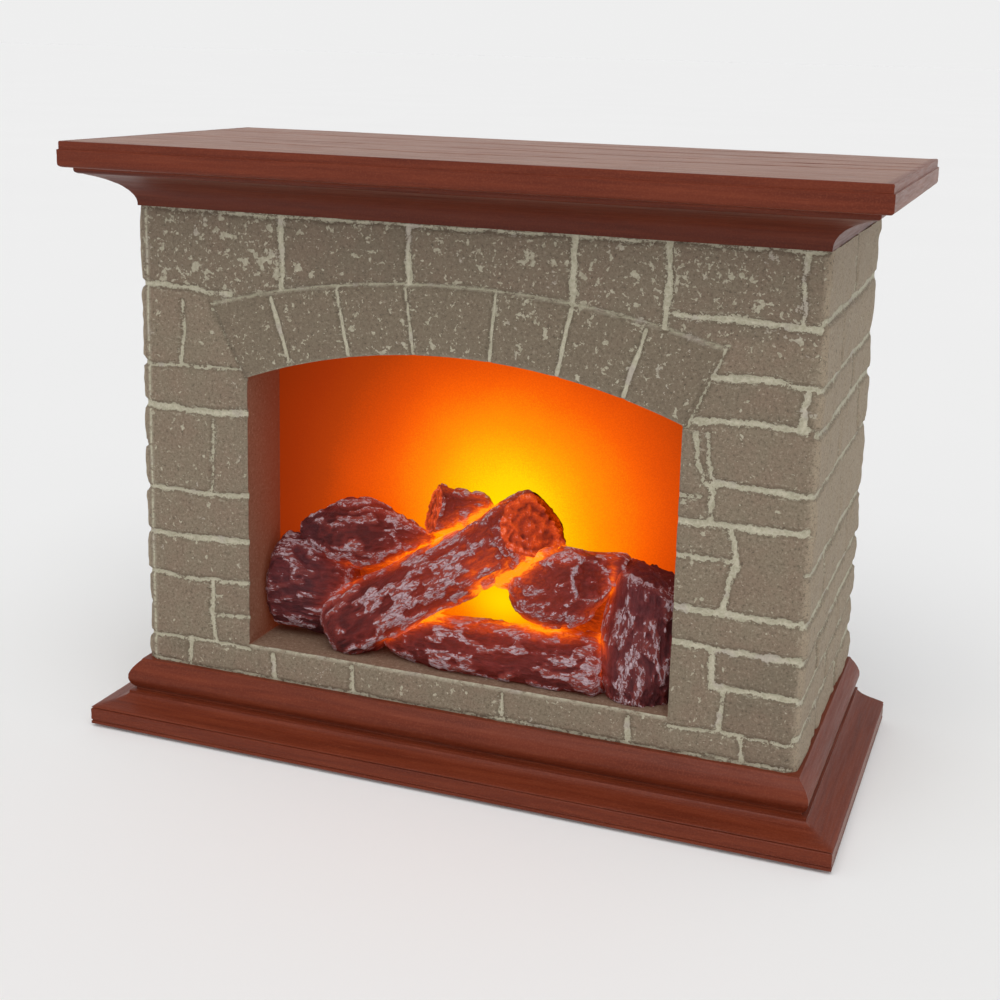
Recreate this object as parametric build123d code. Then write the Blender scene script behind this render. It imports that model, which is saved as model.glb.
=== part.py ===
from build123d import *
import os
from math import pi, tan, radians

# A miniature stone fireplace with a wooden mantel shelf: a battery lantern whose moulded log
# fire is lit from behind. Millimetres, +Z up, +X to the right seen from the front, -Y to the front.
# The origin is the middle of the footprint, on the surface that the rubber feet stand on.

# ---- Driving dimensions -------------------------------------------------------------------
WIDTH = 219.0             # mantel shelf, across
DEPTH = 101.0             # mantel shelf, front to back
HEIGHT = 168.2            # feet to shelf top
SHELF_OUT = 15.0          # shelf edge beyond the stone face
PLINTH_OUT = 12.0         # plinth edge beyond the stone face
STEP_OUT = 12.0           # top of the cove, and the step under the shelf edge
RIM_Z = 1.0               # plinth rim above the surface it stands on
PLINTH_TOP = 18.8
STONE_TOP = 150.7
COVE_TOP = 160.4
SHELF_EDGE_Z = 161.2      # underside of the shelf edge

SIDE = WIDTH / 2 - SHELF_OUT           # stone face to centre, across
BACK = DEPTH / 2                       # the flat back of shelf, stone and plinth
FRONT = SHELF_OUT - DEPTH / 2          # stone face at the front

WALL = 2.4                # moulded walls
GAP = 0.2                 # gap round a part that drops into another
CORNER = 1.5              # rounding of the two front corners of the stone

OPENING_HALF = 61.0       # firebox opening
SILL_Z = 28.4
SPRING_Z = 105.6
CROWN_Z = 116.9
RETURN_WALL = 2.0         # thickness of the firebox lining
SCREEN_Y = -17.0          # front of the glowing screen behind the firebox
SCREEN_T = 1.2

SHANK_R = 1.1             # self-tapping screws
PILOT_R = 1.15
CLEAR_R = 1.6
HEAD_R = 2.8
HEAD_T = 1.6
BOSS_R = 3.5

COVER_IN = 46.5           # inner and outer faces of the rear cover
COVER_OUT = 49.5
CELL_R = 7.25             # AA cells
CELL_LENGTH = 50.5
CELL_PITCH = 15.2
CELL_Y = 40.0
TRAY_Z = 62.0             # middle of the battery tray
TRAY_HALF_X = 28.0
TRAY_HALF_Z = 23.3
TRAY_FLOOR = 32.5         # inner face of the tray's floor
TRAY_WALL = 1.5
EAR_X = 34.5              # tray screws
EAR_DZ = 19.0

DOOR_HALF = 31.0
DOOR_TOP = 88.2
DOOR_IN = 47.5
HINGE_Y = 48.4
HINGE_Z = 37.0
HINGE_R = 1.1
PIN_R = 0.6
DOOR_SCREW_Z = 91.0

SWITCH_X = 62.0
SWITCH_Z = 62.0
SWITCH_TRAVEL = 4.0       # from on, where the knob is made, to off
KNOB_X = SWITCH_X - SWITCH_TRAVEL / 2

BOARD_Y = 6.4             # front face of the lamp board
BOARD_T = 1.6
LEAD_R = 0.65

SHELF_SCREWS = [(x, y) for x in (-84.0, 84.0) for y in (-25.0, 38.0)]
PLINTH_SCREWS = [(x, y) for x in (-86.0, 86.0) for y in (-27.0, 24.0)]
BOTTOM_SCREWS = [(x, y) for x in (-78.0, 0.0, 78.0) for y in (-30.0, 42.0)]
FEET = [(x, y) for x in (-92.0, 92.0) for y in (-36.0, 38.0)]
REAR_SCREWS = [(x, z) for x in (-87.5, 87.5) for z in (28.0, 84.0, 138.0)]
SCREEN_SCREWS = [(x, z) for x in (-70.0, 70.0) for z in (36.0, 112.0)]
LOG_SCREWS = [(-46.0, 40.0), (51.0, 42.0)]
TRAY_SCREWS = [(x, TRAY_Z + dz) for x in (-EAR_X, EAR_X) for dz in (-EAR_DZ, EAR_DZ)]
BOARD_SCREWS = [(-8.0, 68.0), (26.0, 83.0)]
SWITCH_SCREWS = [(SWITCH_X - 11.5, SWITCH_Z), (SWITCH_X + 11.5, SWITCH_Z)]
LAMPS = [(12.0, 77.0), (1.0, 84.0), (20.0, 68.0)]
CELL_ROWS = [TRAY_Z + CELL_PITCH * k for k in (1, 0, -1)]

# Logs of the fire: ends as (across, up), depth of the axis, radius in depth, radius across it.
LOGS = [
    ((-60.6, 43.4), (-33.0, 42.0), -18.0, 10.5, 15.0),    # stump at the left
    ((-51.0, 64.5), (-12.0, 58.5), -19.0, 7.0, 9.3),      # short log behind it
    ((-15.0, 68.0), (6.0, 69.5), -20.0, 5.0, 6.0),        # broken stub at the top
    ((-38.5, 31.0), (18.0, 70.5), -23.0, 10.0, 9.3),      # long log leaning across the fire
    ((-2.0, 54.0), (33.0, 65.0), -22.0, 7.5, 6.5),        # its fork
    ((18.0, 49.0), (37.0, 61.0), -22.5, 9.0, 9.0),        # log facing right
    ((-11.0, 33.5), (42.0, 33.0), -25.0, 8.5, 7.5),       # low log at the front
    ((52.3, 28.4), (52.3, 65.0), -22.0, 11.0, 10.0),      # stump at the right
]
LOG_WALL = 1.8
LOG_BOSS_FRONT = (-27.5, -32.0)       # where each log screw's boss meets the log's front wall

# The thin web that joins the logs at the back of the moulding, and the gap left open in it.
WEB = [(-60.5, 28.4), (-60.5, 55), (-44, 66), (-14, 60), (-8, 68), (14, 70), (32, 66), (43, 60),
       (60.5, 63), (60.5, 28.4)]
WEB_GAP = [(3, 43), (14, 51), (20, 58), (16, 44)]


# ---- Shared shapes ------------------------------------------------------------------------
def block(x0, x1, y0, y1, z0, z1):
    """A box between two corners."""
    middle = ((x0 + x1) / 2, (y0 + y1) / 2, (z0 + z1) / 2)
    return Pos(*middle) * Box(x1 - x0, y1 - y0, z1 - z0)


def rod(start, end, radius):
    """A round bar between two points on a line parallel to an axis."""
    run = Vector(*end) - Vector(*start)
    bar = Cylinder(radius, run.length, align=(Align.CENTER, Align.CENTER, Align.MIN))
    return Plane(origin=start, z_dir=run) * bar


def rod_y(x, z, radius, y0, y1):
    return rod((x, y0, z), (x, y1, z), radius)


def rod_z(x, y, radius, z0, z1):
    return rod((x, y, z0), (x, y, z1), radius)


def screw(seat, direction, length, head_r=HEAD_R, head_t=HEAD_T):
    """A pan-head screw whose head sits on seat and whose shank runs along direction."""
    base = (Align.CENTER, Align.CENTER, Align.MIN)
    top = (Align.CENTER, Align.CENTER, Align.MAX)
    shape = Cylinder(SHANK_R, length, align=base) + Cylinder(head_r, head_t, align=top)
    slot = Pos(0, 0, -head_t) * Box(head_r * 1.2, 0.6, head_t, align=(Align.CENTER,) * 3)
    shape = shape - slot - Rot(0, 0, 90) * slot
    return Plane(origin=seat, z_dir=direction) * shape


def path_edges(points, place):
    """Edges through (out, up) points; a point of four numbers ends an arc through its first two."""
    edges = []
    here = points[0]
    for point in points[1:]:
        if len(point) == 2:
            edges.append(Line(place(*here), place(*point)))
            here = point
        else:
            end = point[2:]
            edges.append(ThreePointArc(place(*here), place(*point[:2]), place(*end)))
            here = end
    return edges, here


def moulded(points, back=BACK):
    """A solid whose front and two sides follow an outline of (out from the stone, up) points.

    Two prisms crossing at right angles meet in true mitres at the front corners, and the back is flat.
    """
    def right(out, up):
        return (SIDE + out, 0, up)

    def left(out, up):
        return (-SIDE - out, 0, up)

    def ahead(out, up):
        return (0, FRONT - out, up)

    reach = DEPTH + WIDTH
    first = points[0]
    right_edges, last = path_edges(points, right)
    left_edges, _ = path_edges(points, left)
    across = right_edges + left_edges
    across += [Line(right(*last), left(*last)), Line(right(*first), left(*first))]
    front_edges, _ = path_edges(points, ahead)
    along = front_edges + [
        Line(ahead(*last), (0, back, last[1])),
        Line((0, back, last[1]), (0, back, first[1])),
        Line((0, back, first[1]), ahead(*first)),
    ]
    prism_y = extrude(make_face(across), amount=reach, dir=(0, 1, 0), both=True)
    prism_x = extrude(make_face(along), amount=reach, dir=(1, 0, 0), both=True)
    return prism_y & prism_x


def arch_prism(grow, y0, y1):
    """The firebox opening, larger by grow on every side, between two depths."""
    half = OPENING_HALF + grow
    low, spring, crown = SILL_Z - grow, SPRING_Z + grow * 0.2, CROWN_Z + grow
    edges = [
        Line((-half, y0, low), (-half, y0, spring)),
        ThreePointArc((-half, y0, spring), (0, y0, crown), (half, y0, spring)),
        Line((half, y0, spring), (half, y0, low)),
        Line((half, y0, low), (-half, y0, low)),
    ]
    return extrude(make_face(edges), amount=y1 - y0, dir=(0, 1, 0))


def lead(points):
    """A round wire along straight runs joined by arcs as large as the runs allow."""
    runs = [Vector(*b) - Vector(*a) for a, b in zip(points, points[1:])]
    radii = []
    for before, after in zip(runs, runs[1:]):
        turn = before.get_angle(after)
        radii.append(0.45 * min(before.length, after.length) / tan(radians(turn) / 2))
    path = FilletPolyline(*points, radius=radii)
    section = Plane(origin=points[0], z_dir=runs[0]) * Circle(LEAD_R)
    tube = sweep(section, path=path)
    wanted = pi * LEAD_R ** 2 * path.length
    print("lead: bend radii", [round(r, 1) for r in radii], "volume ratio", round(tube.volume / wanted, 3))
    return tube


# ---- Stone surround and its mouldings -----------------------------------------------------
def surround_shell():
    shell = block(-SIDE, SIDE, FRONT, BACK, PLINTH_TOP, STONE_TOP)
    front_corners = shell.edges().filter_by(Axis.Z).sort_by(Axis.Y)[:2]
    shell = fillet(front_corners, CORNER)
    inner = SIDE - WALL
    room = block(-inner, inner, FRONT + WALL, BACK + 1, PLINTH_TOP - 1, STONE_TOP + 1)
    shell = shell - room
    shell += arch_prism(RETURN_WALL, FRONT + 0.5, SCREEN_Y)
    for x, y in SHELF_SCREWS:
        ledge_top = STONE_TOP
        outer = inner if x > 0 else -inner
        shell += block(min(x - 5, outer), max(x + 5, outer), y - 5.5, y + 5.5, ledge_top - WALL, ledge_top)
        shell -= rod_z(x, y, CLEAR_R, ledge_top - 2 * WALL, ledge_top + 1)
    for x, y in PLINTH_SCREWS:
        outer = inner if x > 0 else -inner
        shell += rod_z(x, y, BOSS_R, PLINTH_TOP, 30.0)
        shell += block(min(x, outer), max(x, outer), y - 1.2, y + 1.2, PLINTH_TOP, 30.0)
        shell -= rod_z(x, y, PILOT_R, PLINTH_TOP - 1, 28.0)
    for x, z in REAR_SCREWS:
        outer = inner if x > 0 else -inner
        shell += rod_y(x, z, BOSS_R, 34.0, COVER_IN)
        shell += block(min(x, outer), max(x, outer), 34.0, COVER_IN, z - 1.2, z + 1.2)
        shell -= rod_y(x, z, PILOT_R, 36.0, COVER_IN + 1)
    for x, z in SCREEN_SCREWS:
        shell += rod_y(x, z, BOSS_R, FRONT + 1, SCREEN_Y)
        shell -= rod_y(x, z, PILOT_R, SCREEN_Y - 10, SCREEN_Y + 1)
    return shell - arch_prism(0, FRONT - 1, SCREEN_Y + 1)


def mantel_board():
    outline = [
        (STEP_OUT, COVE_TOP), (STEP_OUT, SHELF_EDGE_Z), (SHELF_OUT - 1.0, SHELF_EDGE_Z),
        (SHELF_OUT - 0.293, SHELF_EDGE_Z + 0.293, SHELF_OUT, SHELF_EDGE_Z + 1.0), (SHELF_OUT, HEIGHT),
    ]
    board = moulded(outline)
    hollow = STEP_OUT - WALL
    room = block(-SIDE - hollow, SIDE + hollow, FRONT - hollow, BACK - WALL, COVE_TOP - 1, HEIGHT - WALL)
    board -= room
    for x, y in SHELF_SCREWS:
        board += rod_z(x, y, BOSS_R, STONE_TOP, HEIGHT - WALL / 2)
        board -= rod_z(x, y, PILOT_R, STONE_TOP - 1, COVE_TOP)
    return board


def cove_moulding():
    outside = [
        (0, STONE_TOP), (0, STONE_TOP + 0.7), (2.9, 156.0, 10.3, 159.4), (11.5, 159.7, STEP_OUT, COVE_TOP),
    ]
    inside = [
        (-6.0, STONE_TOP - 1), (-6.0, STONE_TOP + WALL), (-2.2, STONE_TOP + WALL),
        (1.0, 158.3, 7.0, COVE_TOP + 0.3),
    ]
    cove = moulded(outside) - moulded(inside, back=BACK - WALL)
    cove -= block(-SIDE + 6, SIDE - 6, FRONT + 6, BACK - 6, STONE_TOP - 1, STONE_TOP + WALL + 1)
    cove += block(-SIDE + 6, SIDE - 6, BACK - 6.5, BACK - 0.5, STONE_TOP, STONE_TOP + WALL)
    lip_out = WALL + GAP
    lip_in = lip_out + 1.5
    low = STONE_TOP - 2.0
    high = STONE_TOP + 0.5
    cove += block(-60, 60, FRONT + lip_out, FRONT + lip_in, low, high)
    cove += block(-60, 60, FRONT + lip_out, FRONT + 6.2, STONE_TOP, high)
    for side in (-1, 1):
        near, far = sorted((side * (SIDE - lip_out), side * (SIDE - lip_in)))
        cove += block(near, far, -10, 25, low, high)
    return cove


def base_plinth():
    outside = [
        (PLINTH_OUT, RIM_Z), (PLINTH_OUT, 5.0), (11.5, 6.2, 10.3, 6.9), (8.6, 7.3),
        (5.6, 8.1, 2.5, 9.7), (2.5, 10.2), (2.9, 10.3), (4.2, 14.1, 1.6, 18.2), (1.2, PLINTH_TOP),
    ]
    rim_in = PLINTH_OUT - WALL
    inside = [
        (rim_in, RIM_Z - 1), (rim_in, 4.4), (8.0, 5.0), (3.5, 6.0), (0.2, 7.8), (0.2, PLINTH_TOP - WALL),
    ]
    plinth = moulded(outside) - moulded(inside, back=BACK - WALL)
    lip_out = WALL + GAP
    lip_in = lip_out + 1.5
    plinth += block(-55, 55, FRONT + lip_out, FRONT + lip_in, PLINTH_TOP - 1, PLINTH_TOP + 2.2)
    for side in (-1, 1):
        near, far = sorted((side * (SIDE - lip_out), side * (SIDE - lip_in)))
        plinth += block(near, far, -10, 15, PLINTH_TOP - 1, PLINTH_TOP + 2.2)
    for x, y in BOTTOM_SCREWS:
        plinth += rod_z(x, y, BOSS_R, 3.7, PLINTH_TOP - 1)
        plinth -= rod_z(x, y, PILOT_R, 2.7, 13.0)
    for x, y in PLINTH_SCREWS:
        plinth -= rod_z(x, y, CLEAR_R, PLINTH_TOP - 2 * WALL, PLINTH_TOP + 1)
    return plinth


def bottom_plate():
    reach = PLINTH_OUT - WALL - 0.3
    plate = block(-SIDE - reach, SIDE + reach, FRONT - reach, BACK - WALL - 0.3, 1.2, 3.7)
    for x, y in FEET:
        plate -= rod_z(x, y, 6.15, 0.5, 1.8)
    for x, y in BOTTOM_SCREWS:
        plate -= rod_z(x, y, HEAD_R + 0.3, 0.5, 2.7)
        plate -= rod_z(x, y, CLEAR_R, 0.5, 4.5)
    return plate


def foot_pad(x, y):
    pad = rod_z(x, y, 6.0, 0, 1.8)
    return chamfer(pad.edges().group_by(Axis.Z)[0], 0.3)


# ---- Rear cover, battery compartment and switch --------------------------------------------
def rear_cover():
    half = SIDE - WALL - GAP
    cover = block(-half, half, COVER_IN, COVER_OUT, PLINTH_TOP + GAP, STONE_TOP - GAP)
    for x, z in TRAY_SCREWS:
        cover += rod_y(x, z, 3.0, 42.5, COVER_IN + 1)
        cover -= rod_y(x, z, PILOT_R, 41.5, 47.5)
    cover += rod_y(0, DOOR_SCREW_Z, 3.2, 42.0, COVER_IN + 1)
    rebate_in = DOOR_IN - 0.3
    cover -= block(-DOOR_HALF - 0.3, DOOR_HALF + 0.3, rebate_in, BACK, HINGE_Z - 1.6, DOOR_TOP + 0.3)
    cover -= block(-7.3, 7.3, rebate_in, BACK, DOOR_TOP, DOOR_TOP + 6.3)
    cover -= rod_y(0, DOOR_SCREW_Z, CLEAR_R, 43.0, BACK)
    cover -= block(-28.5, 28.5, COVER_IN - 1, BACK, TRAY_Z - 23.8, TRAY_Z + 23.8)
    pin_reach = DOOR_HALF + 1.5
    cover -= rod((-pin_reach, HINGE_Y, HINGE_Z), (pin_reach, HINGE_Y, HINGE_Z), PIN_R + 0.1)
    slot = SWITCH_TRAVEL / 2 + 2.5
    cover -= block(SWITCH_X - slot, SWITCH_X + slot, COVER_IN - 1, BACK, SWITCH_Z - 2.2, SWITCH_Z + 2.2)
    for x, z in SWITCH_SCREWS:
        cover -= rod_y(x, z, PILOT_R, COVER_IN - 1, 48.9)
    for x, z in REAR_SCREWS:
        cover -= rod_y(x, z, CLEAR_R, COVER_IN - 1, BACK)
        cover -= rod_y(x, z, HEAD_R + 0.4, 47.7, BACK)
    return cover


def battery_tray():
    out_x = TRAY_HALF_X + TRAY_WALL
    out_z = TRAY_HALF_Z + TRAY_WALL
    tray = block(-out_x, out_x, TRAY_FLOOR - TRAY_WALL, COVER_IN, TRAY_Z - out_z, TRAY_Z + out_z)
    tray -= block(-TRAY_HALF_X, TRAY_HALF_X, TRAY_FLOOR, COVER_IN + 1,
                  TRAY_Z - TRAY_HALF_Z, TRAY_Z + TRAY_HALF_Z)
    for side in (-1, 1):
        z = TRAY_Z + side * CELL_PITCH / 2
        tray += block(-22, 22, TRAY_FLOOR - 0.5, TRAY_FLOOR + 1.8, z - 1.4, z + 1.4)
    for x, z in TRAY_SCREWS:
        inner, outer = sorted((x / abs(x) * (out_x - 0.5), x / abs(x) * (EAR_X + 4)))
        tray += block(inner, outer, 40.9, 42.5, z - 4, z + 4)
        tray -= rod_y(x, z, CLEAR_R, 40, 43)
    for x, z in BOARD_SCREWS:
        tray += rod_y(x, z, 3.0, BOARD_Y + BOARD_T, TRAY_FLOOR - 0.5)
        tray -= rod_y(x, z, PILOT_R, BOARD_Y, 18)
    for end, row in ((1, CELL_ROWS[0]), (-1, CELL_ROWS[2])):
        near, far = sorted((end * (TRAY_HALF_X - 1), end * (out_x + 1)))
        tray -= block(near, far, 33.9, 36.1, row - 1.1, row + 1.1)
    return tray


def battery_cell(row, positive_end):
    """An AA cell with its button towards positive_end of X."""
    button = positive_end * (TRAY_HALF_X - 0.4)
    shoulder = button - positive_end * 1.2
    foot = button - positive_end * CELL_LENGTH
    body = rod((foot, CELL_Y, row), (shoulder, CELL_Y, row), CELL_R)
    body = fillet(body.edges().filter_by(GeomType.CIRCLE), 0.5)
    return body + rod((shoulder - positive_end * 0.6, CELL_Y, row), (button, CELL_Y, row), 2.6)


def contact_spring(row, end):
    """The spring behind a cell's flat end."""
    plate_face = TRAY_HALF_X - 0.4
    wire = 0.35
    height = 2 * plate_face - CELL_LENGTH - 2 * wire
    coil = Helix(pitch=height / 3, height=height, radius=3.2)
    section = Plane(origin=coil @ 0, z_dir=coil % 0) * Circle(wire)
    spring = sweep(section, path=coil, is_frenet=True)
    start = (end * (plate_face - wire), CELL_Y, row)
    return Plane(origin=start, z_dir=(-end, 0, 0)) * spring


def contact_plates():
    """Spring-steel contacts: two link neighbouring cells, two carry the leads."""
    def plate(end, z0, z1):
        near, far = sorted((end * (TRAY_HALF_X - 0.4), end * TRAY_HALF_X))
        return block(near, far, 33.8, 46.0, z0, z1)

    top, middle, low = CELL_ROWS
    half = 6.0
    plates = []
    for end, row in ((1, top), (-1, low)):
        near, far = sorted((end * (TRAY_HALF_X - 0.2), end * (TRAY_HALF_X + 2.5)))
        plates.append(plate(end, row - half, row + half) + block(near, far, 34, 36, row - 1, row + 1))
    plates.append(plate(1, low - half, middle + half))
    plates.append(plate(-1, middle - half, top + half))
    return plates


def battery_door():
    door = block(-DOOR_HALF, DOOR_HALF, DOOR_IN, COVER_OUT, HINGE_Z, DOOR_TOP)
    door += block(-7, 7, DOOR_IN, COVER_OUT, DOOR_TOP - 1, DOOR_TOP + 6)
    door += rod((-DOOR_HALF, HINGE_Y, HINGE_Z), (DOOR_HALF, HINGE_Y, HINGE_Z), HINGE_R)
    pin_end = DOOR_HALF + 1.1
    door += rod((-pin_end, HINGE_Y, HINGE_Z), (pin_end, HINGE_Y, HINGE_Z), PIN_R)
    for k in range(4):
        z = DOOR_TOP - 4.5 - 1.8 * k
        door += block(-9, 9, COVER_OUT - 0.2, COVER_OUT + 0.4, z - 0.4, z + 0.4)
    door -= rod_y(0, DOOR_SCREW_Z, SHANK_R + 0.1, DOOR_IN - 1, BACK)
    return door - rod_y(0, DOOR_SCREW_Z, 2.5, 48.2, BACK)


def switch_body():
    body = block(SWITCH_X - 8, SWITCH_X + 8, 38.3, COVER_IN, SWITCH_Z - 3.2, SWITCH_Z + 3.2)
    body += block(SWITCH_X - 14.5, SWITCH_X + 14.5, 44.9, COVER_IN, SWITCH_Z - 3.2, SWITCH_Z + 3.2)
    reach = SWITCH_TRAVEL / 2 + 2.3
    body -= block(SWITCH_X - reach, SWITCH_X + reach, 43.0, COVER_IN + 1, SWITCH_Z - 2.1, SWITCH_Z + 2.1)
    for x, z in SWITCH_SCREWS:
        body -= rod_y(x, z, SHANK_R + 0.1, 44, COVER_IN + 1)
    return body


def switch_knob():
    knob = block(KNOB_X - 2, KNOB_X + 2, 43.4, 50.0, SWITCH_Z - 1.8, SWITCH_Z + 1.8)
    for dx in (-1.3, 0, 1.3):
        knob += block(KNOB_X + dx - 0.3, KNOB_X + dx + 0.3, 49.8, 50.3, SWITCH_Z - 1.8, SWITCH_Z + 1.8)
    return knob


# ---- Fire: logs, glowing screen and lamps ---------------------------------------------------
def log_bar(log, shrink):
    """One log as an oval bar, smaller all round by shrink."""
    (x0, z0), (x1, z1), depth, deep, tall = log
    run = Vector(x1 - x0, 0, z1 - z0)
    start = Vector(x0, depth, z0) + run.normalized() * shrink
    plane = Plane(origin=start, x_dir=(0, 1, 0), z_dir=run)
    oval = plane * Ellipse(deep - shrink, tall - shrink)
    return extrude(oval, amount=run.length - 2 * shrink)


def web_plate(corners, back):
    """A thin upright plate with the given (across, up) corners, its back face at back."""
    points = [(x, back - LOG_WALL, z) for x, z in corners]
    return extrude(make_face(Polyline(*points, close=True)), amount=LOG_WALL, dir=(0, 1, 0))


def log_bed():
    """The logs are one thin-walled moulding, open at the back."""
    back = SCREEN_Y - 0.3
    bed = block(-60, 60, -24, back, SILL_Z, SILL_Z + 3.5)
    bed += web_plate(WEB, back) - web_plate(WEB_GAP, back)
    for log in LOGS:
        bed += log_bar(log, 0)
    side = OPENING_HALF - 0.3
    bed &= block(-side, side, FRONT + 1, back, SILL_Z, SPRING_Z)
    inner = side - LOG_WALL
    limits = block(-inner, inner, FRONT, back + 1, SILL_Z + LOG_WALL, SPRING_Z)
    for log in LOGS:
        bed -= log_bar(log, LOG_WALL) & limits
    for (x, z), boss_front in zip(LOG_SCREWS, LOG_BOSS_FRONT):
        bed += rod_y(x, z, 3.0, boss_front, back)
        bed -= rod_y(x, z, PILOT_R, -26.5, SCREEN_Y)
    return bed


def backdrop_screen():
    screen = block(-75, 75, SCREEN_Y, SCREEN_Y + SCREEN_T, 23, 122)
    for x, z in SCREEN_SCREWS + LOG_SCREWS:
        screen -= rod_y(x, z, CLEAR_R, SCREEN_Y - 1, SCREEN_Y + 3)
    return screen


def led_board():
    board = block(-14, 32, BOARD_Y, BOARD_Y + BOARD_T, 62, 89)
    for x, z in BOARD_SCREWS:
        board -= rod_y(x, z, CLEAR_R, BOARD_Y - 1, BOARD_Y + 3)
    return board


def led(x, z):
    """A 5 mm lamp with its dome to the front."""
    lamp = rod_y(x, z, 2.9, BOARD_Y - 1.0, BOARD_Y) + rod_y(x, z, 2.5, BOARD_Y - 6.2, BOARD_Y - 0.5)
    return lamp + Pos(x, BOARD_Y - 6.2, z) * Sphere(2.5)


def chip():
    return block(-7, -2, BOARD_Y - 1.6, BOARD_Y, 76, 82)


def resistor(x, z):
    return block(x - 1.6, x + 1.6, BOARD_Y - 0.6, BOARD_Y, z - 0.8, z + 0.8)


# ---- Every piece, each in the node that holds it ---------------------------------------------
def fasteners():
    """Screws, grouped by what they hold."""
    return {
        "shelf_screws": [screw((x, y, STONE_TOP - WALL), (0, 0, 1), 10) for x, y in SHELF_SCREWS],
        "plinth_screws": [screw((x, y, PLINTH_TOP - WALL), (0, 0, 1), 9) for x, y in PLINTH_SCREWS],
        "bottom_screws": [screw((x, y, 2.7), (0, 0, 1), 8, head_t=1.4) for x, y in BOTTOM_SCREWS],
        "rear_screws": [screw((x, 47.7, z), (0, -1, 0), 9) for x, z in REAR_SCREWS],
        "backdrop_screws": [screw((x, SCREEN_Y + SCREEN_T, z), (0, -1, 0), 8) for x, z in SCREEN_SCREWS],
        "log_screws": [screw((x, SCREEN_Y + SCREEN_T, z), (0, -1, 0), 9) for x, z in LOG_SCREWS],
        "tray_screws": [screw((x, 40.9, z), (0, 1, 0), 5) for x, z in TRAY_SCREWS],
        "board_screws": [screw((x, BOARD_Y, z), (0, 1, 0), 8) for x, z in BOARD_SCREWS],
        "switch_screws": [screw((x, 44.9, z), (0, 1, 0), 3.6) for x, z in SWITCH_SCREWS],
        "door_screw": [screw((0, 48.2, DOOR_SCREW_Z), (0, -1, 0), 5, head_r=2.2, head_t=1.1)],
    }


def leads():
    """Wires from the cells to the switch, the switch to the lamps, and the cells to the lamps."""
    top, _, low = CELL_ROWS
    tab = TRAY_HALF_X + 2.5
    board_back = BOARD_Y + BOARD_T
    terminal = (SWITCH_X - 3, 38.3, SWITCH_Z)
    feed = (SWITCH_X + 3, 38.3, SWITCH_Z)
    return {
        "red_lead": lead([(tab, 35, top), (41, 35, top), (52, 27, 69), (59, 27, 62), terminal]),
        "switch_lead": lead([feed, (65, 27, 62), (56, 17, 66), (39, 15, 72), (29.5, 15, 73),
                             (29.5, board_back, 73)]),
        "black_lead": lead([(-tab, 35, low), (-41, 35, low), (-45, 25, 56), (-35, 16, 70),
                            (-20, 15, 79), (-11, 15, 80), (-11, board_back, 80)]),
    }


def build_parts():
    parts = {
        "surround_shell": [surround_shell()],
        "mantel_board": [mantel_board()],
        "cove_moulding": [cove_moulding()],
        "base_plinth": [base_plinth()],
        "bottom_plate": [bottom_plate()],
        "foot_pads": [foot_pad(x, y) for x, y in FEET],
        "rear_cover": [rear_cover()],
        "battery_tray": [battery_tray()],
        "contact_springs": [contact_spring(row, end) for row, end in zip(CELL_ROWS, (-1, 1, -1))],
        "contact_plates": contact_plates(),
        "battery_door": [battery_door()],
        "switch_body": [switch_body()],
        "switch_knob": [switch_knob()],
        "log_bed": [log_bed()],
        "backdrop_screen": [backdrop_screen()],
        "led_board": [led_board()],
        "flicker_chip": [chip()],
        "resistors": [resistor(x, z) for x, z in ((8, 70), (14, 84), (27, 74))],
    }
    for number, (row, end) in enumerate(zip(CELL_ROWS, (1, -1, 1)), start=1):
        parts[f"battery_cell_{number}"] = [battery_cell(row, end)]
    for number, (x, z) in enumerate(LAMPS, start=1):
        parts[f"led_{number}"] = [led(x, z)]
    parts.update(fasteners())
    parts.update({name: [tube] for name, tube in leads().items()})
    return parts


os.makedirs("parts", exist_ok=True)
for name, solids in build_parts().items():
    shape = solids[0] if len(solids) == 1 else Compound(children=[s.solid() for s in solids])
    export_step(shape, f"parts/{name}.step")
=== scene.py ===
import collections
import itertools
import math

import bmesh
import bpy
import numpy as np
from mathutils import Matrix, Vector


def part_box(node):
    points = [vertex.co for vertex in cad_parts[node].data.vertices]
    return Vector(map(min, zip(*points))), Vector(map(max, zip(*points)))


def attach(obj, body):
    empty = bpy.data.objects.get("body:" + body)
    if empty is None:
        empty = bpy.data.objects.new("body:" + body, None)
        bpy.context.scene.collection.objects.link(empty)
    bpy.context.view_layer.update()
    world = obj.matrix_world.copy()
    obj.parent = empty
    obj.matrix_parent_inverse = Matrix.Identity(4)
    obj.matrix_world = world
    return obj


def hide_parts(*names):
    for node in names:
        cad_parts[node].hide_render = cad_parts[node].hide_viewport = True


# The looks of a miniature stone fireplace: moulded stone, wood-grained mouldings and a lit log fire.
# Lengths are in millimetres in the frame of the CAD part, and become metres when a mesh is made.
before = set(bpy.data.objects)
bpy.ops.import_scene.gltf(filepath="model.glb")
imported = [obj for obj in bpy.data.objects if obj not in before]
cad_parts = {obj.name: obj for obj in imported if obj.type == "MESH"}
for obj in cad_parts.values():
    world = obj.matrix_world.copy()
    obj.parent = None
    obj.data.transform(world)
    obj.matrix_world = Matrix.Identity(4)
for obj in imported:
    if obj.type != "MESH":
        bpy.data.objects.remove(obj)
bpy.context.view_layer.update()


def corners_of(node):
    """A CAD node's lowest and highest corners."""
    return [np.array(corner) * 1000 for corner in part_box(node)]


SHELL_LOW, SHELL_HIGH = corners_of("surround_shell")
PLINTH_LOW, PLINTH_HIGH = corners_of("base_plinth")
LOGS_LOW, LOGS_HIGH = corners_of("log_bed")
BOARD_HIGH = corners_of("mantel_board")[1]
COVE_HIGH = corners_of("cove_moulding")[1]
SCREEN_FRONT = corners_of("backdrop_screen")[0][1]

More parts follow.
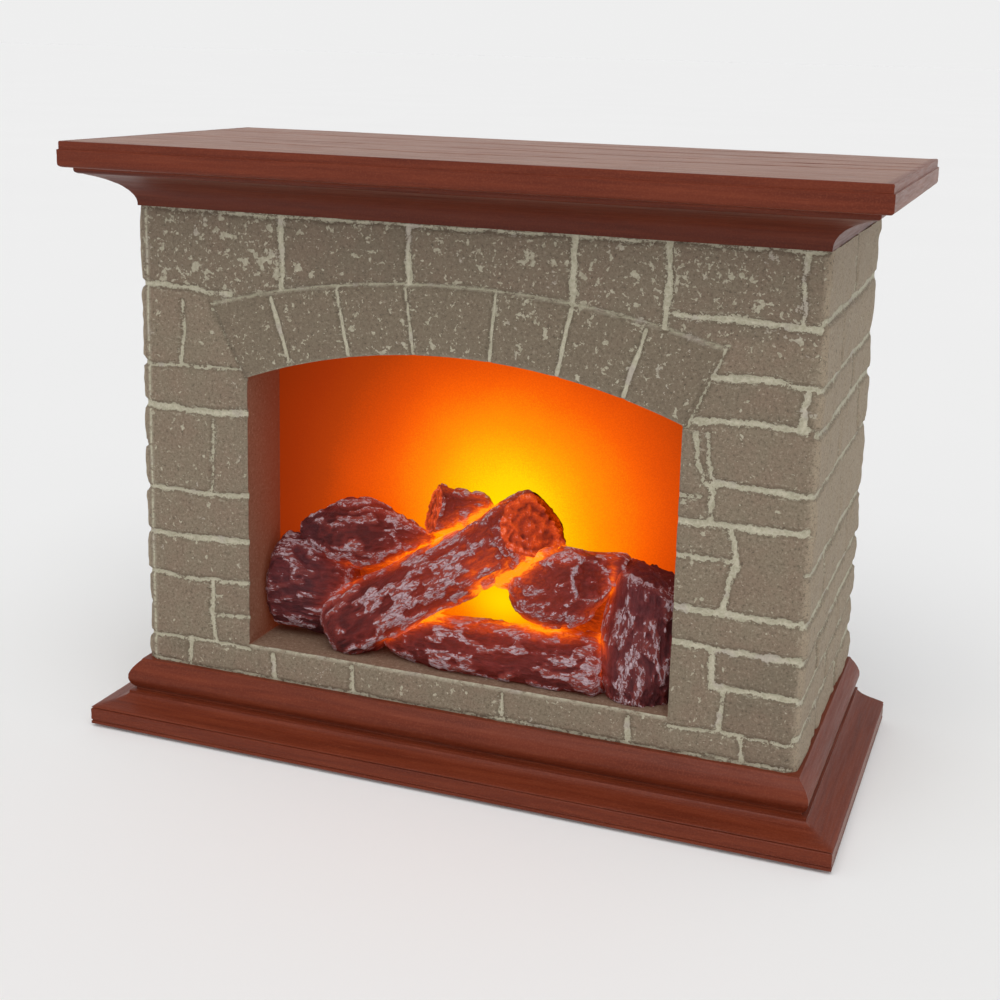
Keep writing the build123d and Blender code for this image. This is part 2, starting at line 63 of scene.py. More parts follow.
SIDE = SHELL_HIGH[0]              # stone face to the middle, across
FRONT = SHELL_LOW[1]              # front stone face
BACK = SHELL_HIGH[1]              # flat back
STONE_LOW = SHELL_LOW[2]
STONE_TOP = SHELL_HIGH[2]
SHELF_OUT = BOARD_HIGH[0] - SIDE
COVE_OUT = COVE_HIGH[0] - SIDE
PLINTH_OUT = PLINTH_HIGH[0] - SIDE
COVE_TOP = COVE_HIGH[2]
SHELF_TOP = BOARD_HIGH[2]
RIM_Z = PLINTH_LOW[2]
WALL = 2.4                        # moulded walls
CORNER = 3.2                      # rounding of the front corners of the stone

OPENING_HALF = 61.0               # firebox opening
SILL = LOGS_LOW[2]
SPRING = 105.6
CROWN = 116.9
LINING = 2.0                      # thickness of the firebox lining
LINING_STEPS = (0.02, 0.06, 0.13, 0.24, 0.38, 0.54, 0.70, 0.85, 1.0)  # shares of its depth
RING_APEX = 134.8                 # top of the ring of arch stones
RING_END = 124.8
RING_HALF = 71.3

# Joints between the stones of the front face: half width, then (across, up) points.
FRONT_JOINTS = [
    (0.35, [(-94.5, 150.3), (94.5, 150.3)]),
    (0.35, [(-94.5, 19.2), (94.5, 19.2)]),
    # top course
    (0.80, [(-50.3, 149.6), (-50.0, 140), (-50.3, 128.5)]),
    (0.75, [(-13.5, 149.6), (-13.2, 142), (-13.6, 133.5)]),
    (0.80, [(31.5, 149.6), (31.3, 140), (31.1, 132)]),
    (0.80, [(55.3, 149.6), (55.8, 138), (55.4, 126.5)]),
    (0.60, [(88.7, 149.6), (88.7, 132.9)]),
    (0.55, [(-94.5, 128.9), (-80, 129.4), (-66, 128)]),
    (0.75, [(58, 132.9), (75, 132.5), (94.5, 132)]),
    # left column
    (0.35, [(-94.5, 107.0), (-61, 107.2)]),
    (0.75, [(-94.5, 95.3), (-76, 94.8), (-61, 95.2)]),
    (0.55, [(-94.5, 71.0), (-61, 71.2)]),
    (0.80, [(-94.5, 57.5), (-78, 57.9), (-61, 58.2)]),
    (0.50, [(-94.5, 45.5), (-61, 45.8)]),
    (0.40, [(-94.5, 26.6), (-61, 26.8)]),
    (0.55, [(-80.8, 125.5), (-81.2, 108)]),
    (0.40, [(-72.0, 92), (-72.4, 72)]),
    (0.60, [(-72.8, 45.5), (-72.2, 27)]),
    (0.50, [(-72.5, 35.9), (-61, 35.9)]),
    # right column
    (0.70, [(67, 118.1), (80, 118.4), (94.5, 118.1)]),
    (0.70, [(91, 118), (91, 107.4)]),
    (0.75, [(64.5, 107.1), (78, 107.5), (92, 107.2)]),
    (0.55, [(64.5, 104), (65, 98), (67, 92), (69, 89)]),
    (0.50, [(67.5, 104), (68, 98), (69, 93)]),
    (0.75, [(69, 91.6), (80, 91.4), (94.5, 90.8)]),
    (0.50, [(61, 88.2), (66, 88)]),
    (0.60, [(68.8, 88), (69, 81)]),
    (0.80, [(61, 81.4), (76, 81.0), (94.5, 81.3)]),
    (0.70, [(74, 81), (76, 77), (76.5, 72), (75, 66), (74, 59)]),
    (0.60, [(61, 72.3), (75.5, 72.0)]),
    (0.80, [(61, 58.6), (78, 58.2), (94.5, 58.0)]),
    (0.80, [(61, 48.9), (78, 48.6), (94.5, 48.3)]),
    (0.65, [(71.7, 48.6), (71.9, 38.5)]),
    (0.75, [(71.7, 38.5), (84, 38.2), (94.5, 38.0)]),
    (0.60, [(74.7, 38.5), (74.6, 27)]),
    (0.40, [(61, 26.4), (94.5, 26.0)]),
    # bottom course, under the sill
    (0.50, [(-80.5, 27), (-80.5, 20)]),
    (0.65, [(-53.5, 26.5), (-53.5, 20)]),
    (0.65, [(-28.7, 26.5), (-28.7, 20)]),
    (0.65, [(15.5, 26.5), (15.5, 20)]),
    (0.65, [(50.8, 26.5), (50.8, 20)]),
    (0.50, [(80.3, 26), (80.3, 20)]),
]

# Joints between the arch stones.
RING_JOINTS = [
    (0.50, [(-53.0, 128.4), (-47.8, 111.8)]),
    (0.50, [(-33.8, 132.1), (-30.0, 114.8)]),
    (0.46, [(-13.8, 134.1), (-11.3, 116.5)]),
    (0.42, [(11.2, 134.4), (9.8, 116.5)]),
    (0.50, [(31.5, 132.1), (28.0, 115.1)]),
    (0.55, [(50.7, 128.8), (45.8, 111.3)]),
]
RING_LEFT = [(-71.3, 124.8), (-61.0, 105.6)]
RING_RIGHT = [(70.6, 126.0), (61.7, 105.6)]

# Courses of the two sides: the joint under each course, and where its uprights are, from the front.
RIGHT_COURSES = [
    (133.8, (44,)), (117.4, (24, 58)), (106.1, (18, 50)), (91.0, (33, 66)), (70.5, (45,)),
    (57.0, (24, 62)), (47.6, (36,)), (37.5, (20, 54)), (27.4, (40, 68)), (STONE_LOW, (28, 60)),
]
LEFT_COURSES = [
    (129.0, (38,)), (107.0, (20, 55)), (95.0, (42,)), (83.0, (15, 60)), (71.0, (34,)),
    (57.7, (22, 58)), (45.5, (46,)), (36.0, (28, 66)), (26.8, (50,)), (STONE_LOW, (24, 62)),
]

# How many points the mouldings have along each side and along the front.
MOULDING_SIDE_POINTS, MOULDING_FRONT_POINTS = 40, 96
SHELF_SIDE_POINTS, SHELF_FRONT_POINTS = 250, 120
GROOVE_WIDTH, GROOVE_DEPTH = 0.42, 0.42

# Grooves of the shelf top, as (across, depth) points.
SHELF_GROOVES = [
    [(-109, 29.7), (-73, 28), (-40, 25.5), (-12, 25.2), (25, 24.7), (52, 23.8), (85, 23.8), (109, 25.8)],
    [(-2, 38), (27, 38.8), (43, 41.3), (68, 43)],
    [(-109, -2.8), (-65, -2.8), (-12, 0.5), (35, 1.8), (68, 4.7), (109, 10.5)],
    [(-75, -17.8), (-45, -20.3), (-15, -24.5), (12, -20.3), (32, -16.5), (52, -12), (85, -7), (109, -2)],
]

# A log: both ends of its axis, its radius in depth and across, the scale of that along it as (share
# of the length, scale), its two ends, and how brightly each end face is lit. An end is the share of
# the radius that is rounded over, how far the rounding reaches in, and how its face leans up and back.
Log = collections.namedtuple("Log", "start end deep tall scales first last lit")
LOGS = [
    Log((-60.6, -18.5, 43.4), (-33.0, -18.5, 42.0), 10.5, 14.3, [(0, 1), (0.5, 1), (1, 0.78)],
        (0.35, 3.5, 0, 0), (0.9, 7.0, 0, 0), (0, 0)),
    Log((-53.0, -19.5, 59.0), (-10.5, -19.5, 61.8), 8.2, 9.6,
        [(0, 0.30), (0.17, 0.68), (0.34, 0.97), (0.5, 1), (0.6, 0.92), (0.74, 0.62), (0.9, 0.27),
         (1, 0.14)],
        (0.6, 2.0, 0, 0), (0.9, 4.0, 0, 0), (0.25, 0)),
    Log((-11.5, -21.5, 70.6), (6.0, -19.0, 72.5), 5.5, 7.6, [(0, 1), (0.5, 0.72), (1, 0.5)],
        (0.35, 1.6, 0.35, 0.55), (0.9, 3.0, 0, 0), (0.65, 0)),
    Log((-40.5, -24.0, 30.6), (18.6, -22.5, 70.4), 9.4, 9.8,
        [(0, 1.0), (0.15, 1.05), (0.5, 0.93), (1, 1.0)],
        (0.8, 7.5, 0, 0), (0.15, 1.2, 0.05, 0.62), (0, 0.64)),
    Log((6.0, -21.0, 56.5), (47.0, -23.0, 61.2), 6.0, 5.5, [(0, 1), (1, 0.9)],
        (0.9, 4.0, 0, 0), (0.8, 3.5, 0, 0), (0, 0)),
    Log((13.0, -20.5, 48.8), (37.6, -30.4, 60.0), 8.0, 11.2,
        [(0, 0.50), (0.3, 0.90), (0.6, 1.0), (0.85, 0.80), (1, 0.60)],
        (0.9, 5.0, 0, 0), (0.25, 1.2, 0.0, 0.80), (0, 0)),
    Log((-25.0, -24.5, 33.4), (42.5, -26.0, 35.2), 8.6, 8.2,
        [(0, 0.40), (0.25, 0.94), (0.6, 0.96), (1, 0.98)],
        (0.9, 6.0, 0, 0), (0.6, 3.5, 0, 0), (0, 0)),
    Log((50.2, -22.5, 27.6), (51.6, -22.5, 62.6), 11.0, 11.2,
        [(0, 0.88), (0.25, 1.14), (0.7, 0.95), (1, 0.9)],
        (0.2, 1.0, 0, 0), (0.55, 4.0, -0.22, 0.0), (0, 0)),
]

# Thin web behind the logs: its outline and the gap in it, as (across, up) points.
WEB_REACH, WEB_LOW, WEB_HIGH, WEB_PITCH = 60.5, 28.6, 66.6, 1.0
WEB = [(-WEB_REACH, WEB_LOW), (-WEB_REACH, 53), (-44, 64), (-14, 58), (-8, 64), (14, 66), (32, 64),
       (43, 58), (WEB_REACH, 60), (WEB_REACH, WEB_LOW)]
WEB_GAP = [(-14, 36), (-14, 41), (4, 53), (18, 62), (26, 58), (24, 36)]

LOG_PITCH = 0.48                  # spacing of a log's points
JOINED_LOGS = {4, 5}              # these two are one branch, with no fire between them
FIRE_MIDDLE = (10.5, 70.0)        # brightest spot of the screen
SECOND_GLOW = (9.0, 46.0)         # where the lamps shine through the gap between the logs

# Camera, with its place in metres, its turns in radians and its lens in millimetres.
CAMERA_PLACE = (0.14823, -0.40087, 0.19442)
CAMERA_YAW, CAMERA_DOWN, CAMERA_ROLL = 0.3558, 0.2149, 0.0255
CAMERA_LENS, CAMERA_SENSOR = 55.99, 36.0
CAMERA_SHIFT = (0.0014, -0.1093)

# Studio: greys are linear, from 0 for black to 1 for white.
FLOOR_REACH = 60000.0
FLOOR_GREYS = (0.845, 0.855)
FLOOR_GLOW = 0.06
BACKGROUND_GREY = 0.858
LOW_LIGHT, HIGH_LIGHT = 0.85, 0.42     # surround near the horizon, and overhead
KEY_POWER, KEY_SPREAD = 1.6, 55        # the soft light from above, its spread in degrees
KEY_FROM = (0.12, -0.45, 0.88)


# ---- Numbers ----
def lattice(cell, seed):
    """A fixed random number from 0 to 1 for each whole-number cell."""
    mixed = cell @ np.array([374761393, 668265263, 1440662683]) + seed * 974634777
    mixed &= 0xFFFFFFFF
    mixed = ((mixed ^ (mixed >> 13)) * 1274126177) & 0xFFFFFFFF
    mixed = ((mixed ^ (mixed >> 16)) * 1103515245) & 0xFFFFFFFF
    return ((mixed ^ (mixed >> 15)) & 0xFFFFFF) / 0xFFFFFF


def noise(points, size, seed):
    """Smooth noise from -1 to 1 that changes over size, which may differ along each axis."""
    scaled = points / np.array(size, float)
    cell = np.floor(scaled).astype(np.int64)
    part = scaled - cell
    part = part * part * (3 - 2 * part)
    total = np.zeros(len(points))
    for corner in itertools.product((0, 1), repeat=3):
        weight = np.prod(np.where(corner, part, 1 - part), axis=1)
        total += weight * lattice(cell + np.array(corner), seed)
    return total * 2 - 1


def ease(value):
    """Smooth step from 0 to 1."""
    value = np.clip(value, 0, 1)
    return value * value * (3 - 2 * value)


def bell(value, width):
    """1 where the value is 0, falling off smoothly over the width."""
    return np.exp(-(value / width) ** 2)


def distance_to_line(points, line):
    """Distance of every 2-D point to a line through the given points."""
    best = np.full(len(points), 1e9)
    for start, end in zip(line, line[1:]):
        start = np.array(start, float)
        run = np.array(end, float) - start
        share = np.clip(((points - start) @ run) / (run @ run), 0, 1)
        best = np.minimum(best, np.linalg.norm(points - start - share[:, None] * run, axis=1))
    return best


def right_of_line(points, line):
    """Signed distance of every 2-D point from an endless line, positive to the right of its run."""
    start, end = np.array(line[0], float), np.array(line[1], float)
    run = (end - start) / np.linalg.norm(end - start)
    offset = points - start
    return offset[:, 0] * run[1] - offset[:, 1] * run[0]


def arch(across, half, low, high):
    """Height over across of a circular arc from low at half to high in the middle."""
    rise = high - low
    radius = (half ** 2 + rise ** 2) / (2 * rise)
    return high - radius + np.sqrt(np.maximum(radius ** 2 - across ** 2, 0))


def steps(stops, pitches):
    """Positions through the stops, spaced about as the pitches say."""
    found = [stops[0]]
    for low, high, pitch in zip(stops, stops[1:], pitches):
        count = max(1, round((high - low) / pitch))
        found += list(np.linspace(low, high, count + 1)[1:])
    return np.array(found)


def inside(points, corners):
    """Which 2-D points lie inside a polygon."""
    found = np.zeros(len(points), bool)
    x, y = points[:, 0], points[:, 1]
    for (x0, y0), (x1, y1) in zip(corners, corners[1:] + corners[:1]):
        crosses = (y0 > y) != (y1 > y)
        reach = x0 + (y - y0) * (x1 - x0) / ((y1 - y0) or 1e-9)
        found ^= crosses & (x < reach)
    return found


# ---- Meshes ----
def place_in_scene(name, data):
    """An object for the data, in the scene."""
    made = bpy.data.objects.new(name, data)
    bpy.context.scene.collection.objects.link(made)
    return made


def mesh_object(name, verts, faces, attributes, material, sharp=40):
    """A mesh from millimetre points, with a value at each point for every attribute."""
    mesh = bpy.data.meshes.new(name)
    mesh.from_pydata(np.asarray(verts) * 0.001, [], faces)
    work = bmesh.new()
    work.from_mesh(mesh)
    bmesh.ops.recalc_face_normals(work, faces=work.faces)
    work.to_mesh(mesh)
    work.free()
    mesh.shade_smooth()
    mesh.set_sharp_from_angle(angle=math.radians(sharp))
    for key, values in attributes.items():
        layer = mesh.attributes.new(key, "FLOAT", "POINT")
        layer.data.foreach_set("value", np.asarray(values, np.float32))
    mesh.materials.append(material)
    return place_in_scene(name, mesh)


def grid_faces(index):
    """Quads over a 2-D array of vertex numbers."""
    corners = (index[:-1, :-1], index[:-1, 1:], index[1:, 1:], index[1:, :-1])
    return np.stack(corners, axis=-1).reshape(-1, 4).tolist()


def used_points(faces, count, first=0):
    """Which of count points the faces use, and the faces with those numbered from first."""
    used = np.unique(np.concatenate([np.array(face) for face in faces]))
    number = np.full(count, -1)
    number[used] = np.arange(len(used)) + first
    return used, [number[np.array(face)].tolist() for face in faces]


# ---- Stone surround ----
def around(along):
    """Place and outward direction on the stone; along runs round it from the middle of the front."""
    reach = np.abs(along)
    turn = np.clip((reach - SIDE + CORNER) / (2 * CORNER), 0, 1) * math.pi / 2
    x = np.minimum(reach, SIDE - CORNER) + CORNER * np.sin(turn)
    y = FRONT + CORNER - CORNER * np.cos(turn) + np.maximum(reach - SIDE - CORNER, 0)
    facing = np.stack([np.sign(along) * np.sin(turn), -np.cos(turn)], axis=1)
    return np.stack([np.sign(along) * x, y], axis=1), facing


def side_joints(courses, side):
    """Level and upright joints of one side, in the same form as the front's."""
    joints = []
    above = STONE_TOP
    for low, uprights in courses:
        if low > STONE_LOW:
            joints.append((0.7, [(side * SIDE, low), (side * (SIDE + BACK - FRONT + 2), low + 0.8)]))
        for depth in uprights:
            joints.append((0.6, [(side * (SIDE + depth), above), (side * (SIDE + depth + 1), low)]))
        above = low
    return joints


def joint_distance(points, joints, seed, wander=1.0):
    """Distance from every point to the edge of the nearest joint, less than 0 inside it."""
    flat = np.column_stack([points, np.zeros(len(points))])
    bend = np.column_stack([noise(flat, 9, seed + k) * 0.5 + noise(flat, 2.4, seed + 5 + k) * 0.28
                            for k in range(2)])
    spread = 1 + 0.35 * noise(flat, 3.2, seed + 9)
    best = np.full(len(points), 9.0)
    for half, line in joints:
        best = np.minimum(best, distance_to_line(points + wander * bend, line) - half * spread)
    return best


def arch_ring(points):
    """How far inside the ring of arch stones every point is, less than 0 outside, and from its edge."""
    top = arch(points[:, 0], RING_HALF, RING_END, RING_APEX) - points[:, 1]
    left = -right_of_line(points, RING_LEFT)
    right = right_of_line(points, RING_RIGHT)
    above = points[:, 1] - SPRING + 0.1
    ends = np.minimum(left, right)
    edge = np.minimum(np.abs(left + 0.4) + 0.05, np.abs(right + 0.4) - 0.4)
    edge = np.minimum(np.where(above > -1, edge, 9), np.where(ends > -0.5, np.abs(top + 0.4) - 0.25, 9))
    return np.minimum.reduce([top, left, right, above + 0.5]), np.where(top > -2, edge, 9)


def stone_numbers(joint, shape):
    """A random number from 0 to 1 for each stone, the same all over it."""
    label = np.where(joint.reshape(shape) > 0.05, np.arange(1, joint.size + 1).reshape(shape), 0)
    while True:
        spread = label.copy()
        spread[1:] = np.maximum(spread[1:], label[:-1])
        spread[:-1] = np.maximum(spread[:-1], label[1:])
        spread[:, 1:] = np.maximum(spread[:, 1:], label[:, :-1])
        spread[:, :-1] = np.maximum(spread[:, :-1], label[:, 1:])
        spread[label == 0] = 0
        if (spread == label).all():
            break
        label = spread
    flat = label.ravel()
    return lattice(np.column_stack([flat, flat * 0, flat * 0]), 4)


def stone_surface(points, shape):
    """Relief of the stone faces in millimetres, and what the paint needs to know there."""
    along, up = points[:, 0], points[:, 1]
    flat = np.column_stack([points, np.zeros(len(points))])
    joints = FRONT_JOINTS + side_joints(RIGHT_COURSES, 1) + side_joints(LEFT_COURSES, -1)
    walls = joint_distance(points, joints, 20)
    ring, ring_edge = arch_ring(points)
    rings = joint_distance(points, RING_JOINTS, 40, 0.4)
    joint = np.where(ring > 0, rings, np.minimum(walls, ring_edge))
    tone = stone_numbers(joint, shape)
    again = (tone * 7.31) % 1.0
    side = ease((np.abs(along) - SIDE + 2.0) / 3.0)
    face = ease((joint + 0.1) / 0.9)
    front_relief = -0.35 + (0.45 + 0.12 * again) * face + 0.75 * ease((ring + 0.1) / 0.8)
    front_relief += (0.07 * noise(flat, 2.2, 1) + 0.12 * noise(flat, 7, 2)) * np.where(ring > 0, 0.5, 1)
    side_relief = -0.35 + (0.25 + 0.55 * again) * face + 0.2 * ease(joint / 3.5)
    side_relief += (0.28 * noise(flat, 4.5, 3) + 0.16 * noise(flat, 2.0, 4)) * face
    relief = front_relief * (1 - side) + side_relief * side
    sill_gap = np.where(np.abs(along) < OPENING_HALF, SILL - up, 99)
    jamb_gap = np.where((up > SILL) & (up < SPRING), np.abs(along) - OPENING_HALF, 99)
    arch_gap = up - arch(np.clip(along, -OPENING_HALF, OPENING_HALF), OPENING_HALF, SPRING, CROWN)
    arch_gap = np.where((np.abs(along) <= OPENING_HALF) & (up > SPRING - 1), arch_gap, 99)
    for gap in (sill_gap, jamb_gap, arch_gap):
        relief -= 0.35 * np.clip(1 - np.abs(gap) / 0.9, 0, 1) ** 2
    fleck = 0.25 + 0.35 * again
    fleck = np.where((up > 128) & (ring < 0), 0.65 + 0.35 * again, fleck)
    fleck = np.where((ring > 0) & (again > 0.55), 0.75, np.where(ring > 0, 0.15, fleck))
    # Painted highlights: pale along the left front corner, the sill's front edge, the arch's edge and
    # the top of the ring, where these edges catch the light.
    ring_top = (np.abs(along) < RING_HALF) & (up > RING_END)
    edge = np.maximum.reduce([
        1.3 * bell(along + SIDE - 2.6, 0.5), 0.9 * bell(sill_gap, 0.7), 0.35 * bell(arch_gap, 0.6),
        bell(ring + 0.35, 0.4) * ring_top,
    ])
    attributes = {
        "joint": np.clip(joint, -1, 4),
        "tone": tone,
        "fleck": fleck * (1 - 0.5 * side),
        "side": side,
        "ring": ease(ring + 0.5),
        "edge": edge,
        "warm": along * 0,
    }
    return relief, attributes


def offset_loop(loop, distance):
    """A closed 2-D loop moved outwards by distance."""
    before = loop - np.roll(loop, 1, axis=0)
    after = np.roll(loop, -1, axis=0) - loop
    normals = []
    for run in (before, after):
        run = run / np.linalg.norm(run, axis=1)[:, None]
        normals.append(np.column_stack([-run[:, 1], run[:, 0]]))
    middle = normals[0] + normals[1]
    middle /= np.linalg.norm(middle, axis=1)[:, None]
    spread = np.sum(middle * normals[0], axis=1)
    return loop + middle * (distance / spread)[:, None]


def stone_grid():
    """Columns round the three faces, rows up them, and each point's place along and up.

    Rows above the opening follow its arch.
    """
    far = SIDE + BACK - FRONT
    columns = steps([-far, -SIDE - CORNER, -SIDE + CORNER, -OPENING_HALF, 0, OPENING_HALF, SIDE - CORNER,
                     SIDE + CORNER, far], [1.0, 0.6, 0.65, 0.65, 0.65, 0.65, 0.6, 1.0])
    rows = steps([STONE_LOW, SILL, SPRING, STONE_TOP], [0.6, 0.68, 0.65])
    along = np.tile(columns, (len(rows), 1))
    up = np.tile(rows[:, None], (1, len(columns)))
    base = arch(columns, OPENING_HALF, SPRING, CROWN)
    over = (np.abs(columns) < OPENING_HALF)[None, :] & (rows >= SPRING - 1e-6)[:, None]
    warped = base + (up - SPRING) * (STONE_TOP - base) / (STONE_TOP - SPRING)
    return columns, rows, along, np.where(over, warped, up)


def stone_surround(material):
    """The front and sides as one carved skin, with the firebox lining and the hollow behind."""
    columns, rows, along, up = stone_grid()
    points = np.column_stack([along.ravel(), up.ravel()])
    relief, attributes = stone_surface(points, along.shape)
    place, facing = around(points[:, 0])
    place = place + facing * relief[:, None]
    place[:, 1] = np.minimum(place[:, 1], BACK)
    verts = list(np.column_stack([place, points[:, 1]]))
    index = np.arange(len(verts)).reshape(along.shape)

    left, right = np.searchsorted(columns, [-OPENING_HALF - 1e-6, OPENING_HALF - 1e-6])
    low, high = np.searchsorted(rows, [SILL - 1e-6, SPRING - 1e-6])
    faces = grid_faces(index[:low + 1]) + grid_faces(index[high:])
    faces += grid_faces(index[low:high + 1, :left + 1]) + grid_faces(index[low:high + 1, right:])
    loop = list(index[low:high, left]) + list(index[high, left:right])
    loop += list(index[high:low:-1, right]) + list(index[low, right:left:-1])

    def add(points_3d, warm=0.0):
        first = len(verts)
        verts.extend(points_3d)
        count = len(points_3d)
        for key, value in (("joint", 4), ("tone", 0.5), ("fleck", 0.1), ("side", 0), ("ring", 1),
                           ("edge", 0), ("warm", warm)):
            attributes[key] = np.append(attributes[key], np.full(count, value))
        return np.arange(first, first + count)

    outline = np.array([verts[i] for i in loop])[:, [0, 2]]
    rings = [np.array(loop)]
    upright = np.abs(outline[:, 0]) > OPENING_HALF - 0.5
    start = np.array([verts[i][1] for i in loop])
    for share in LINING_STEPS:
        depth = start + (SCREEN_FRONT - start) * share
        flat = np.column_stack([outline[:, 0], depth, outline[:, 1]])
        inward = 0.10 * noise(flat, 6, 60) + 0.05 * noise(flat, 2, 61) - 0.05
        shape = offset_loop(outline, -inward) if share < 1 else outline
        # Painted firelight: the jambs get an orange tint that grows towards the screen, and the sill a
        # lighter one, as the screen's light would give them.
        warm = np.where(upright, 0.45 + 0.55 * share, 0.22 * (outline[:, 1] < SILL + 1))
        rings.append(add(np.column_stack([shape[:, 0], depth, shape[:, 1]]), warm))
    outer = offset_loop(outline, LINING)
    for depth in (SCREEN_FRONT, FRONT + WALL):
        rings.append(add(np.column_stack([outer[:, 0], np.full(len(outer), depth), outer[:, 1]])))
    faces += grid_faces(np.array([np.append(ring, ring[0]) for ring in rings]))

    inner = SIDE - WALL
    front_wall = FRONT + WALL
    hollow = [(-inner, BACK), (-inner, front_wall), (0, front_wall), (inner, front_wall), (inner, BACK)]
    floor_edge = add([(x, y, STONE_LOW) for x, y in hollow]).tolist()
    roof_edge = add([(x, y, STONE_TOP) for x, y in hollow]).tolist()
    wall_ring = rings[-1].tolist()
    crown = int(np.argmin(np.abs(outline[:, 0]) - outline[:, 1] * 0.01))
    foot = int(np.argmin(np.abs(outline[:, 0]) + outline[:, 1] * 0.01))
    left_part = wall_ring[foot:] + wall_ring[:crown + 1]
    right_part = wall_ring[crown:foot + 1]
    faces.append([floor_edge[1], floor_edge[2]] + left_part + [roof_edge[2], roof_edge[1]])
    faces.append([roof_edge[3], roof_edge[2]] + right_part + [floor_edge[2], floor_edge[3]])
    faces.append(index[-1].tolist() + roof_edge[::-1])
    faces.append(index[0].tolist() + floor_edge[::-1])
    for column, end in ((0, 0), (-1, 4)):
        faces.append(index[:, column].tolist() + [roof_edge[end], floor_edge[end]])
    for first, last in ((0, 1), (4, 3)):
        faces.append([floor_edge[first], floor_edge[last], roof_edge[last], roof_edge[first]])

    used, faces = used_points(faces, len(verts))
    verts = np.array(verts)[used]
    attributes = {key: values[used] for key, values in attributes.items()}
    return mesh_object("stone_surround", verts, faces, attributes, material, sharp=55)


# ---- Wood-grained mouldings ----
def fine_outline(points, pitch=0.7):
    """An outline of (out, up) points; a point of four numbers ends an arc through its first two."""
    found = [np.array(points[0], float)]
    for point in points[1:]:
        start = found[-1]
        end = np.array(point[-2:], float)
        via = np.array(point[:2], float) if len(point) == 4 else (start + end) / 2
        length = np.linalg.norm(via - start) + np.linalg.norm(end - via)
        count = max(1, round(length / (pitch * (0.7 if len(point) == 4 else 1))))
        control = 2 * via - (start + end) / 2
        for share in np.linspace(0, 1, count + 1)[1:]:
            found.append((1 - share) ** 2 * start + 2 * share * (1 - share) * control + share ** 2 * end)
    return np.array(found)


def moulding_grid(outline, across, deep, seed, grain=0.06):
    """Points of a moulding round the left side, front and right side, and its grain coordinates.

    across and deep are shares from 0 to 1 along the front and along each side, and grain is how
    far the wood grain lifts the surface.
    """
    run = np.diff(outline, axis=0)
    length = np.concatenate([[0], np.cumsum(np.linalg.norm(run, axis=1))])
    tangent = np.gradient(outline, axis=0)
    tangent /= np.linalg.norm(tangent, axis=1)[:, None]
    normal = np.column_stack([tangent[:, 1], -tangent[:, 0]])
    shares = [(0, s) for s in deep[:-1]] + [(1, s) for s in across] + [(2, s) for s in deep[::-1][1:]]
    verts, travel, cross = [], [], []
    depth = BACK - FRONT
    part, share = np.array(shares).T
    end = np.sign(part - 1)
    along = np.where(end == 0, SIDE * (2 * share - 1), end * (SIDE + depth * (1 - share)))
    for (out, up), (move_out, move_up), at in zip(outline, normal, length):
        travel.append(along)
        cross.append(along * 0 + at)
        points = np.column_stack([along, cross[-1], along * 0 + seed])
        lift = 0.6 * noise(points, (28, 0.9, 5), seed) + 0.5 * noise(points, (11, 0.5, 5), seed + 1)
        lift = grain * lift
        if at in (0, length[-1]):
            lift = lift * 0
        wide = out + move_out * lift
        x = np.where(end == 0, (SIDE + wide) * (2 * share - 1), end * (SIDE + wide))
        y = np.where(end == 0, FRONT - wide, BACK - (depth + wide) * share)
        verts.append(np.column_stack([x, y, up + move_up * lift]))
    return np.vstack(verts), np.concatenate(travel), np.concatenate(cross), len(shares)


def moulding(name, outline, material, seed, extra=None):
    """A moulding with mitred front corners and a flat back, closed below and above.

    extra, if given, is the lowest and highest corner of a bar that goes with it.
    """
    deep = np.linspace(0, 1, MOULDING_SIDE_POINTS)
    across = np.linspace(0, 1, MOULDING_FRONT_POINTS)
    verts, travel, cross, columns = moulding_grid(fine_outline(outline), across, deep, seed)
    index = np.arange(len(verts)).reshape(-1, columns)
    faces = grid_faces(index)
    faces.append(index[0].tolist())
    faces.append(index[-1].tolist())
    faces.append(index[:, 0].tolist() + index[::-1, -1].tolist())
    if extra is not None:
        corners = np.array(list(itertools.product(*zip(*extra))))
        first = len(verts)
        verts = np.vstack([verts, corners])
        travel = np.append(travel, corners[:, 0])
        cross = np.append(cross, corners[:, 2])
        for face in ((0, 1, 3, 2), (4, 5, 7, 6), (0, 1, 5, 4), (2, 3, 7, 6), (0, 2, 6, 4), (1, 3, 7, 5)):
            faces.append([first + corner for corner in face])
    plain = np.zeros(len(verts))
    attributes = {"grain_run": travel, "grain_across": cross, "groove": plain, "painted_reflection": plain}
    return mesh_object(name, verts, faces, attributes, material, sharp=35)


